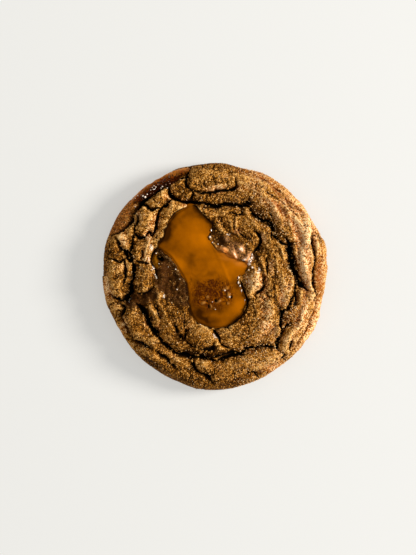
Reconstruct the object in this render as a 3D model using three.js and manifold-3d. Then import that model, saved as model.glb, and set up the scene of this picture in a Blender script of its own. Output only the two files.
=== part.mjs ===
// A toffee cookie as it comes off the tray: a round, crackled biscuit with a pool of melted toffee in its
// middle and a run of boiled-out toffee baked on to its rim. Millimetres, +Z up, origin at the middle of
// the flat base.
//
// The dough is one solid. Its smooth shape is a profile turned round the axis, and its cracks, puffed
// plates and wrinkles are a relief that moves that smooth skin in or out. Each toffee is a lens-shaped
// solid that lies in a hollow cut for it in the dough.
import * as THREE from "three";
import Module from "manifold-3d";

const wasm = await Module();
wasm.setup();

// ---------------------------------------------------------------------------------------- driving sizes

const COOKIE_RADIUS = 44.8; // mean radius at the widest height
const CROWN_HEIGHT = 14.2; // of the puffed ring between middle and rim
const MIDDLE_HEIGHT = 12.8; // the middle sinks as the cookie cools
const WIDEST_HEIGHT = 5; // the rim bulges out over the tray and tucks in below
const FOOT_RADIUS = 42.6; // where the side meets the flat base
const FACET = 1.32; // the size of one triangle's side on the dough
const GAP = 0.3; // between the dough and each toffee

// The outline is a little uneven: its radius every 30 degrees, anticlockwise from +X.
const RIM_RADII = [44.4, 44.9, 45.4, 45.3, 45.0, 45.6, 44.8, 43.9, 44.0, 45.1, 44.4, 43.8];

// The smooth skin as radius and height: over the top to the widest point, then down to the foot.
const TOP_PROFILE = [
  [0, MIDDLE_HEIGHT],
  [12, MIDDLE_HEIGHT + 0.1],
  [24, CROWN_HEIGHT - 0.4],
  [33, CROWN_HEIGHT],
  [38.5, CROWN_HEIGHT - 1.3],
  [42, CROWN_HEIGHT - 3.4],
  [44.2, WIDEST_HEIGHT + 2.8],
  [COOKIE_RADIUS, WIDEST_HEIGHT],
];
const SIDE_PROFILE = [
  [COOKIE_RADIUS, WIDEST_HEIGHT],
  [44.5, 2.4],
  [43.7, 0.7],
  [FOOT_RADIUS, 0],
];

// The cracks that opened as the cookie rose and fell. A route is [x, y] seen from above; width and depth
// are at its middle, and both fade towards its ends.
const CRACKS = [
  // the ring that parts the sunken middle from the rim, clockwise from the upper left
  {
    width: 1.5,
    depth: 4.4,
    route: [[-18.4, 36.4], [-18.2, 33.6], [-16.4, 31.6], [-12.4, 29.6], [-9, 29], [-5, 29.4]],
  },
  {
    width: 1.3,
    depth: 4.4,
    route: [[-6, 29.4], [-1, 28.1], [5, 28.8], [10, 28.5], [13.5, 28.4], [15.4, 24.6]],
  },
  { width: 1.5, depth: 4.4, route: [[15, 25.2], [17.4, 23], [20.6, 21.6], [22, 19.2], [22.4, 16.8]] },
  { width: 1.2, depth: 3.2, route: [[22.4, 17.4], [25, 14.6], [28.6, 15.4]] },
  {
    width: 2.6,
    depth: 6.2,
    route: [[28.4, 15.6], [29.3, 11.5], [29.4, 8], [31, 3.4], [33.4, -0.4], [37.6, -5]],
  },
  {
    width: 1.7,
    depth: 4.4,
    route: [[32, -1.6], [31.9, -6], [31.8, -10.5], [28.6, -13], [26, -15.6], [26.3, -20.6]],
  },
  {
    width: 1.6,
    depth: 4.6,
    route: [[26.2, -19.8], [26.6, -22], [25.4, -26], [25.6, -28.6], [27, -30.2]],
  },
  {
    width: 1.7,
    depth: 5,
    route: [[25.8, -28.4], [20, -27.9], [14, -28.1], [7, -30.5], [0.5, -32.4], [-8, -31.8], [-15.4, -30.4]],
  },
  {
    width: 2.9,
    depth: 6.2,
    route: [[-14.4, -31], [-19.6, -27.8], [-23.4, -23.4], [-26, -18.6], [-28.6, -13.2], [-31.4, -10.8]],
  },
  {
    width: 2.5,
    depth: 5.8,
    route: [[-37.6, -9.6], [-34, -7], [-32.8, -2], [-32.4, 3], [-33.9, 9.6], [-32.8, 16.4]],
  },
  // between the plates at the upper left
  {
    width: 1.4,
    depth: 4,
    route: [[-32.4, 17.6], [-30.8, 15.8], [-28.6, 15.7], [-26.8, 16.8], [-24.4, 16.2]],
  },
  {
    width: 1.3,
    depth: 4.2,
    route: [[-24.6, 16.2], [-23, 21.6], [-21.8, 27], [-19, 29.6], [-16.6, 31.6]],
  },
  { width: 1, depth: 3, route: [[-22, 27.2], [-26, 27.1], [-27.6, 28.4], [-30.2, 28.8]] },
  {
    width: 1.8,
    depth: 4.6,
    route: [[-41.4, 16], [-36, 19.6], [-33.6, 22.6], [-32, 26.6], [-28.6, 30.8], [-24, 34.2], [-18.6, 36]],
  },
  { width: 1.3, depth: 4, route: [[-18.4, 36], [-15.6, 38.2], [-11.8, 39.6], [-10.4, 43.4]] },
  { width: 1.2, depth: 4, route: [[-10.6, 42], [-11.6, 38], [-9.6, 34.6], [-9.4, 29.4]] },
  { width: 1.1, depth: 3.2, route: [[-39.4, 15], [-38.4, 12], [-36.6, 10.2], [-34.2, 10.6]] },
  { width: 0.9, depth: 2.6, route: [[-32.2, 17], [-31.8, 20], [-31, 22.4], [-31.2, 25.6]] },
  // round the plates at the left and lower left
  { width: 1.1, depth: 3.2, route: [[-42, 6.8], [-38.6, 6.3], [-36.4, 7], [-36.2, 2], [-36.6, -3.6]] },
  { width: 1.2, depth: 3.4, route: [[-42.6, -6.4], [-40.6, -8.6], [-37.4, -9.4]] },
  {
    width: 1.6,
    depth: 4.2,
    route: [[-38.2, -10.2], [-36.4, -12.6], [-37.6, -16.6], [-35.6, -22], [-32.4, -26], [-25.4, -28.4]],
  },
  { width: 0.9, depth: 2.6, route: [[-24.6, -10.4], [-23, -12.4], [-21.4, -16]] },
  { width: 1.1, depth: 3, route: [[-16, -18.6], [-15.2, -21.8], [-12.4, -23.8]] },
  { width: 1, depth: 3, route: [[-23, -28.4], [-19.4, -32.2], [-15.4, -36.6]] },
  { width: 1.5, depth: 3.8, route: [[-8, -32], [-8, -36], [-5.4, -38.6], [-2.4, -39.6], [-0.6, -41.8]] },
  { width: 0.9, depth: 2.4, route: [[12, -38.8], [15.6, -38], [17.4, -40.2]] },
  // folds at the right, and small breaks in the middle
  { width: 1.1, depth: 3, route: [[38.9, 18.6], [38.5, 12.6], [39.9, 7], [39.2, 1], [40, -8]] },
  { width: 1, depth: 2.6, route: [[26, -21.6], [28, -20.5], [30.2, -18.8]] },
  { width: 1.5, depth: 3.4, route: [[15.8, 18.2], [18.1, 15.2], [17.4, 12.2], [15.4, 9.8]] },
  { width: 1, depth: 2.4, route: [[18.6, 0.8], [19.2, -4], [16, -7.8]] },
  { width: 0.9, depth: 2.4, route: [[20.4, 8.4], [20.3, 4.4], [20.6, 1.4]] },
  { width: 1, depth: 2.6, route: [[0.2, -22], [1, -24], [1.6, -26.4]] },
  { width: 1.1, depth: 2.8, route: [[-10, 34.4], [-2.5, 33.8], [3, 34.5], [8.2, 35.4], [8.3, 38.6]] },
  { width: 0.9, depth: 2.4, route: [[5.6, 41.2], [12, 41.1], [17, 39.6], [22.6, 36.4], [28.6, 32.4]] },
];

// The folds that wrinkled up between them as the rim sank, given like the cracks.
const FOLDS = [
  { width: 3.4, height: 1.2, route: [[15, 35.4], [20, 32.2], [22.8, 28.6], [24.2, 25], [26.6, 20.6]] },
  {
    width: 4,
    height: 1.4,
    route: [[35.4, 22], [36.8, 15], [36.3, 8], [36.3, 2.5], [37.8, -2.5], [39.2, -8]],
  },
  { width: 3, height: 0.9, route: [[10.6, 27.2], [13.8, 24.6], [15.8, 21.8], [17.6, 19.6]] },
  { width: 2.4, height: 0.8, route: [[8.6, 23.6], [8.1, 19], [9.8, 16.2], [12, 13.8]] },
  { width: 2.4, height: 0.7, route: [[1.6, 20.6], [3, 18.2], [5, 16.6]] },
  { width: 2.6, height: 0.9, route: [[25.6, 14], [26.6, 10.6], [27.6, 7.4]] },
  { width: 3, height: 0.9, route: [[5, 43], [11, 39.8], [17, 37.8], [22, 34.6], [27.4, 31]] },
  { width: 2.8, height: 0.9, route: [[27.4, 29], [30, 24.4], [32.4, 20.4], [33.8, 15]] },
  { width: 3, height: 0.9, route: [[21.6, -11], [22.6, -14], [20.8, -17.6], [17.4, -19]] },
  { width: 2.8, height: 0.8, route: [[28.8, -3.4], [29.3, -6.6], [28, -10.6]] },
  { width: 3, height: 0.8, route: [[27.6, -27.6], [30.4, -23], [34, -18.6], [36.8, -12]] },
];

// Lumps and hollows wider than a crack: where, half length and half width, the angle of the length, and
// height.
const LUMPS = [
  { at: [-5, -23.8], size: [6.5, 5], turn: -25, height: 1.1 }, // the smooth mound under the pool
  { at: [15.6, -2], size: [5.5, 3.4], turn: 80, height: 1 }, // the tongue of dough right of it
  { at: [9, 10.8], size: [5.5, 3], turn: -30, height: 0.9 }, // glazed knobs above the toffee's arm
  { at: [18, 27], size: [5, 4], turn: -45, height: -1.4 }, // the sunk plate behind the long fold
  { at: [-18, -1.5], size: [9.5, 5.5], turn: 72, height: -2.2 }, // the wet hollow left of the pool
  { at: [-30, -8.2], size: [6, 2], turn: 12, height: -1.6 }, // the gully where melted toffee ran out
];

// Pillowy swellings and long wrinkles that no list names: cell sizes along and across the rim, and height.
const SWELLING = { along: 9, across: 6, height: 0.5 };
const WRINKLES = { along: 6, across: 2.6, height: 0.5 };

// The toffee pool seen from above. Every ray from its heart meets the outline once.
const POOL_HEART = [-2, 2];
const POOL_OUTLINE = [
  [-10, 28.3], [-15, 26], [-19, 21], [-22.6, 12], [-17.5, 7.5], [-12.5, -0.5], [-10.5, -8], [-8.5, -15.5],
  [-3, -19.8], [5, -19.8], [11, -15], [12.3, -10.5], [9.2, -3], [9.4, 1], [13.4, 4.6], [9, 7], [1.5, 10.4],
  [-2.2, 15.5], [-3, 22.5], [-6.5, 27],
];
const POOL_LEVEL = 12.6; // of its upper half
const POOL_STEP = { at: -0.8, drop: 0.5, over: 2.5 }; // the lower half lies lower, past this y
const POOL_DEPTH = 4.2;
const POOL_EDGE = 0.7; // how far the skin of the toffee curls down where it meets the dough

// The toffee on the rim, as a long blister on the dough's skin: the angles between which it lies, the run
// of the profile that it covers, and how far it stands out of the skin and reaches into it.
const LEAK = { from: 103, to: 140, inner: 41, outer: 49.5, above: 0.7, below: 1.7 };

// ------------------------------------------------------------------------------------------ small tools

const TAU = 2 * Math.PI;
const smooth = (t) => THREE.MathUtils.smoothstep(t, 0, 1);
const vector2 = ([x, y]) => new THREE.Vector2(x, y);

/** A number from -1 to 1 that belongs to one corner of a grid, the same on every run. */
function cornerValue(i, j, seed) {
  let h = Math.imul(i, 374761393) + Math.imul(j, 668265263) + Math.imul(seed, 974634777);
  h = Math.imul(h ^ (h >>> 13), 1274126177);
  return ((h ^ (h >>> 16)) >>> 0) / 2147483648 - 1;
}

/** Smooth noise from -1 to 1 over a grid whose cells are 1 wide. */
function noise(x, y, seed) {
  const i = Math.floor(x);
  const j = Math.floor(y);
  const u = smooth(x - i);
  const near = THREE.MathUtils.lerp(cornerValue(i, j, seed), cornerValue(i + 1, j, seed), u);
  const far = THREE.MathUtils.lerp(cornerValue(i, j + 1, seed), cornerValue(i + 1, j + 1, seed), u);
  return THREE.MathUtils.lerp(near, far, smooth(y - j));
}

/**
 * The closed skin over a stack of rings, each an array of Vector3 in anticlockwise order, of any
 * length.
 */
function skinOver(rings) {
  const positions = rings.flat().flatMap((p) => [p.x, p.y, p.z]);
  const index = [];
  let first = 0;
  for (let k = 0; k + 1 < rings.length; k++) {
    const [na, nb] = [rings[k].length, rings[k + 1].length];
    const a = (i) => first + (i % na);
    const b = (j) => first + na + (j % nb);
    let i = 0;
    let j = 0;
    while (i < na || j < nb) {
      const stepOuter = i === na || (j < nb && (j + 1) * na <= (i + 1) * nb);
      if (stepOuter && nb > 1) index.push(a(i), b(j), b(j + 1));
      if (!stepOuter && na > 1) index.push(a(i), b(j), a(i + 1));
      if (stepOuter) j++;
      else i++;
    }
    first += na;
  }
  const geometry = new THREE.BufferGeometry();
  geometry.setAttribute("position", new THREE.Float32BufferAttribute(positions, 3));
  geometry.setIndex(index);
  return geometry;
}

function solidOf(geometry) {
  return new wasm.Manifold(
    new wasm.Mesh({
      numProp: 3,
      vertProperties: geometry.attributes.position.array,
      triVerts: new Uint32Array(geometry.index.array),
    }),
  );
}

function geometryOf(solid) {
  const { vertProperties, triVerts } = solid.getMesh();
  const geometry = new THREE.BufferGeometry();
  geometry.setAttribute("position", new THREE.BufferAttribute(vertProperties, 3));
  geometry.setIndex(new THREE.BufferAttribute(triVerts, 1));
  return geometry;
}

// ---------------------------------------------------------------------------------- the dough's surface

/** The outline's radius at an angle, smooth through RIM_RADII. */
function rimRadius(angle) {
  const count = RIM_RADII.length;
  const place = (((angle / TAU) * count) % count + count) % count;
  const i = Math.floor(place);
  const [r0, r1, r2, r3] = [-1, 0, 1, 2].map((step) => RIM_RADII[(i + step + count) % count]);
  const t = place - i;
  return r1 + 0.5 * t * (r2 - r0 + t * (2 * r0 - 5 * r1 + 4 * r2 - r3 + t * (3 * (r1 - r2) + r3 - r0)));
}

const topCurve = new THREE.SplineCurve(TOP_PROFILE.map(vector2));
const sideCurve = new THREE.SplineCurve(SIDE_PROFILE.map(vector2));
const topLength = topCurve.getLength();
const sideLength = sideCurve.getLength();

/**
 * A point of the smooth skin: an angle, how far along the profile from the axis, and how far off the
 * skin.
 */
function skinPoint(angle, along, off = 0) {
  const onTop = along <= topLength;
  const curve = onTop ? topCurve : sideCurve;
  const share = onTop ? along / topLength : Math.min(1, (along - topLength) / sideLength);
  const p = curve.getPointAt(share);
  const tangent = curve.getTangentAt(share);
  const radius = (p.x / COOKIE_RADIUS) * rimRadius(angle) - tangent.y * off;
  return new THREE.Vector3(radius * Math.cos(angle), radius * Math.sin(angle), p.y + tangent.x * off);
}

/** A crack or fold as close-set points that know how wide and how deep or high it is there. */
function pointsAlong({ width, depth, height, route }) {
  const curve = new THREE.SplineCurve(route.map(vector2));
  const count = Math.ceil(curve.getLength() / 0.5);
  return curve.getSpacedPoints(count).map((at, i) => {
    const fade = 0.35 + 0.65 * smooth(Math.min(i, count - i) / (0.2 * count));
    return { at, halfWidth: (width / 2) * fade, size: (depth ?? height) * fade };
  });
}

const crackPoints = CRACKS.flatMap(pointsAlong);
const foldPoints = FOLDS.flatMap(pointsAlong);

/**
 * How far the dough falls away at a distance from a crack: a puffed shoulder, then a groove with
 * sloping walls.
 */
function crackFall(distance, { halfWidth, size }) {
  const grooveHalf = halfWidth + 0.5 * FACET;
  const shoulder = 0.5 * size;
  const lip = 0.26 * size;
  if (distance >= grooveHalf + shoulder) return 0;
  if (distance >= grooveHalf) return lip * (1 - (distance - grooveHalf) / shoulder) ** 2;
  return lip + (size - lip) * (1 - (distance / grooveHalf) ** 1.5);
}

/** How far a fold stands up at a distance from its ridge. */
function foldRise(distance, { halfWidth, size }) {
  return size * (1 - Math.min(1, distance / halfWidth) ** 2) ** 2;
}

/** The most that any point of a list gives at x, y. */
function mostOf(points, x, y, reach, sizeAt) {
  let most = 0;
  for (const point of points) {
    const [dx, dy] = [x - point.at.x, y - point.at.y];
    const near = Math.abs(dx) < reach && Math.abs(dy) < reach;
    if (near) most = Math.max(most, sizeAt(Math.hypot(dx, dy), point));
  }
  return most;
}

function lumpHeight(x, y) {
  return LUMPS.reduce((sum, { at, size, turn, height }) => {
    const [c, s] = [Math.cos(THREE.MathUtils.degToRad(turn)), Math.sin(THREE.MathUtils.degToRad(turn))];
    const along = (c * (x - at[0]) + s * (y - at[1])) / size[0];
    const across = (c * (y - at[1]) - s * (x - at[0])) / size[1];
    return sum + height * smooth(1 - Math.hypot(along, across));
  }, 0);
}

/** Noise whose cells are long in the direction of the rim, without a seam where the angle starts again. */
function ringNoise(x, y, { along, across, height }, seed) {
  const radius = Math.hypot(x, y);
  const turns = Math.atan2(y, x) / TAU + 0.5;
  const cells = Math.max(3, Math.round((TAU * Math.min(radius, 30)) / along));
  const fadeIn = smooth(turns * 6);
  const before = noise(turns * cells, radius / across, seed);
  const after = noise((turns - 1) * cells, radius / across, seed);
  return height * (fadeIn * before + (1 - fadeIn) * after);
}

/** How far the dough stands off its smooth skin over the point x, y. */
function reliefAt(x, y) {
  const reach = 6;
  const fall = mostOf(crackPoints, x, y, reach, crackFall);
  const rise = mostOf(foldPoints, x, y, reach, foldRise);
  return lumpHeight(x, y) + ringNoise(x, y, SWELLING, 1) + ringNoise(x, y, WRINKLES, 2) + rise - fall;
}

/** The same, as the mean over a patch as wide as one facet, so that no form is finer than the facets. */
function relief(x, y) {
  const samples = 6;
  let sum = 2 * reliefAt(x, y);
  for (let i = 0; i < samples; i++) {
    const turn = (i / samples) * TAU;
    sum += reliefAt(x + 0.36 * FACET * Math.cos(turn), y + 0.36 * FACET * Math.sin(turn));
  }
  return sum / (samples + 2);
}

/**
 * Slides a point of the grid on to a crack that passes close by, so that the crack's floor is a clean
 * line.
 */
function snapToCrack(point) {
  let nearest = null;
  let least = 0.5 * FACET;
  for (const { at } of crackPoints) {
    const distance = Math.hypot(point.x - at.x, point.y - at.y);
    if (distance < least) [nearest, least] = [at, distance];
  }
  return nearest ?? point;
}

// ------------------------------------------------------------------------------------------- the pieces

function makeDough() {
  const rings = [];
  const ringAt = (along, snaps, reliefShare) => {
    const { x, y } = skinPoint(0, along);
    const radius = Math.hypot(x, y);
    const count = radius < FACET / 2 ? 1 : Math.max(6, Math.round((TAU * radius) / FACET));
    const ring = [];
    for (let i = 0; i < count; i++) {
      const angle = ((i + 0.5 * (rings.length % 2)) / count) * TAU;
      const bare = skinPoint(angle, along);
      const plan = snaps ? snapToCrack(bare) : bare;
      const point = skinPoint(angle, along, reliefShare * relief(plan.x, plan.y));
      ring.push(point.add(new THREE.Vector3(plan.x - bare.x, plan.y - bare.y, 0)));
    }
    rings.push(ring);
  };

  const topRings = Math.round(topLength / FACET);
  const flatPart = 38; // beyond it the skin is too steep to slide a point level
  for (let k = 0; k <= topRings; k++) {
    const along = (k / topRings) * topLength;
    ringAt(along, k > 0 && along < flatPart, 1);
  }
  const sideRings = 3;
  for (let k = 1; k <= sideRings; k++) {
    ringAt(topLength + (k / sideRings) * sideLength, false, 1 - k / sideRings);
  }
  rings.push([new THREE.Vector3(0, 0, 0)]);
  return skinOver(rings);
}

const poolCurve = new THREE.CatmullRomCurve3(
  POOL_OUTLINE.map(([x, y]) => new THREE.Vector3(x, y, 0)),
  true,
  "centripetal",
);

/** The pool of toffee, or with grow the hollow that it lies in, which is open above. */
function makePool(grow = 0) {
  const heart = new THREE.Vector3(...POOL_HEART, 0);
  const top = (share, y) => {
    const stepped = POOL_LEVEL - POOL_STEP.drop * smooth((POOL_STEP.at - y) / POOL_STEP.over);
    return grow > 0 ? CROWN_HEIGHT + 4 : stepped - POOL_EDGE * share ** 8;
  };
  const sill = 1.4; // how deep the toffee is at its edge
  const floor = POOL_LEVEL - POOL_STEP.drop - sill - grow;
  const bottom = (share) => floor - (POOL_DEPTH - POOL_STEP.drop - sill) * (1 - share ** 2);
  const ringAt = (share, height) => {
    const count = share === 0 ? 1 : Math.max(8, Math.round((poolCurve.getLength() * share) / (FACET * 1.1)));
    return Array.from({ length: count }, (_, i) => {
      const tangent = poolCurve.getTangentAt(i / count);
      const outwards = new THREE.Vector3(tangent.y, -tangent.x, 0);
      const edge = poolCurve.getPointAt(i / count).addScaledVector(outwards, grow);
      const point = heart.clone().lerp(edge, share);
      return point.setZ(height(share, point.y));
    });
  };
  const shares = [0, 0.14, 0.3, 0.46, 0.62, 0.76, 0.87, 0.95, 1];
  const rings = [
    ...shares.map((share) => ringAt(share, top)),
    ...[1, 0.85, 0.55, 0].map((share) => ringAt(share, bottom)),
  ];
  return skinOver(rings);
}

/** The toffee that boiled out over the rim, or with grow the hollow that it lies in. */
function makeLeak(grow = 0) {
  const middle = THREE.MathUtils.degToRad((LEAK.from + LEAK.to) / 2);
  const halfAngle = THREE.MathUtils.degToRad((LEAK.to - LEAK.from) / 2) + grow / COOKIE_RADIUS;
  const halfRun = (LEAK.outer - LEAK.inner) / 2 + grow;
  const ringAt = (share, off) => {
    const count = share === 0 ? 1 : Math.max(8, Math.round(40 * share));
    return Array.from({ length: count }, (_, i) => {
      const turn = (-i / count) * TAU;
      const bulge = Math.sign(Math.sin(turn)) * Math.abs(Math.sin(turn)) ** 0.8;
      const along = (LEAK.inner + LEAK.outer) / 2 + halfRun * share * bulge;
      const angle = middle + halfAngle * share * Math.cos(turn);
      const blister = 1 + 0.35 * noise(angle * 14, along / 3, 5);
      return skinPoint(angle, along, grow > 0 && off > 0 ? 4 : off * blister);
    });
  };
  const shares = [0, 0.25, 0.5, 0.72, 0.88, 1];
  const dome = (share) => Math.sqrt(Math.max(0, 1 - share ** 3));
  const rings = [
    ...shares.map((share) => ringAt(share, LEAK.above * Math.max(0.12, dome(share)))),
    ...[0.99, 0.8, 0.45, 0].map((share) => ringAt(share, -(LEAK.below * dome(share) + grow))),
  ];
  return skinOver(rings);
}

const pool = makePool();
const leak = makeLeak();
const dough = solidOf(makeDough()).subtract(solidOf(makePool(GAP))).subtract(solidOf(makeLeak(GAP)));

// ---------------------------------------------------------------------------------------- the materials

const doughFinish = new THREE.MeshStandardMaterial({ color: 0x8a5a26, roughness: 0.85, metalness: 0 });
const poolFinish = new THREE.MeshStandardMaterial({ color: 0xa85c06, roughness: 0.25, metalness: 0 });
const leakFinish = new THREE.MeshStandardMaterial({ color: 0x6a2d0c, roughness: 0.2, metalness: 0 });

const cookie = new THREE.Group();
for (const [name, geometry, material] of [
  ["dough", geometryOf(dough), doughFinish],
  ["toffee_pool", pool, poolFinish],
  ["toffee_leak", leak, leakFinish],
]) {
  geometry.computeVertexNormals();
  const mesh = new THREE.Mesh(geometry, material);
  mesh.name = name;
  cookie.add(mesh);
}

export default cookie;
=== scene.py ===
# %% [markdown]
# # A toffee cookie
# This lesson builds the look of one toffee cookie, seen from straight above on a pale table. The plain
# solids come from the imported frame. Here each of them is replaced by a fine mesh of the same form: the
# crackled dough, the pool of melted toffee in its middle and the toffee that boiled out over its rim. Then
# come the sugar and crumbs that lie on the dough, the light and the camera.
#

# %% Load the frame
import math

import bmesh
import bpy
import numpy as np
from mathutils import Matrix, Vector


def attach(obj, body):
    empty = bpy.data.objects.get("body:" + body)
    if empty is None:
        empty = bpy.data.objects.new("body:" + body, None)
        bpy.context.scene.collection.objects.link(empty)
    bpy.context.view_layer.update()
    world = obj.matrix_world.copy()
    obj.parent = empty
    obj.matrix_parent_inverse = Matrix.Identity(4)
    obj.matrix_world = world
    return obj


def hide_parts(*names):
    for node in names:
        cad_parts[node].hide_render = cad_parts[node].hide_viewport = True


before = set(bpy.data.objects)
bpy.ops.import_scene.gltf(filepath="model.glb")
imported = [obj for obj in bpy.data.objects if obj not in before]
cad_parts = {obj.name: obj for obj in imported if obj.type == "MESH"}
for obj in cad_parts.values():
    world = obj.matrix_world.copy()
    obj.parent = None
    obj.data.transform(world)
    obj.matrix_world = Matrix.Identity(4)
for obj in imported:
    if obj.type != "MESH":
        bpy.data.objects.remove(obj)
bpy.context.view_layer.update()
MM = 0.001

# %% [markdown]
# ## Sizes
# The cookie is measured in millimetres from the middle of its base, with +X to the right and +Y to the top
# of the view. Its smooth shape is a profile that is turned round the axis: radius and height, over the top
# to the widest point and down the side to the foot. The outline is not quite round, so its radius is given
# every 30 degrees.

# %% The smooth shape
COOKIE_RADIUS = 44.8
WIDEST_HEIGHT = 5
CROWN_HEIGHT = 14.2
MIDDLE_HEIGHT = 12.8
TOP_LIMIT = 15.0
RIM_RADII = [44.4, 44.9, 45.4, 45.3, 45.0, 45.6, 44.8, 43.9, 44.0, 45.1, 44.4, 43.8]
TOP_PROFILE = [
    (0, MIDDLE_HEIGHT), (12, MIDDLE_HEIGHT + 0.1), (24, CROWN_HEIGHT - 0.4), (33, CROWN_HEIGHT),
    (38.5, CROWN_HEIGHT - 1.3), (42, CROWN_HEIGHT - 3.4), (44.2, 7.8), (COOKIE_RADIUS, WIDEST_HEIGHT),
]
SIDE_PROFILE = [(COOKIE_RADIUS, WIDEST_HEIGHT), (44.5, 2.4), (43.7, 0.7), (42.6, 0)]

# %% [markdown]
# ## Cracks and folds
# A cookie cracks as it rises and wrinkles as it falls. These are the cracks and folds that give this one
# its face. We give each a width, a depth or height, and the few points that its route needs. A function
# turns a route into close-set points, so the lists stay short.

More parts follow.
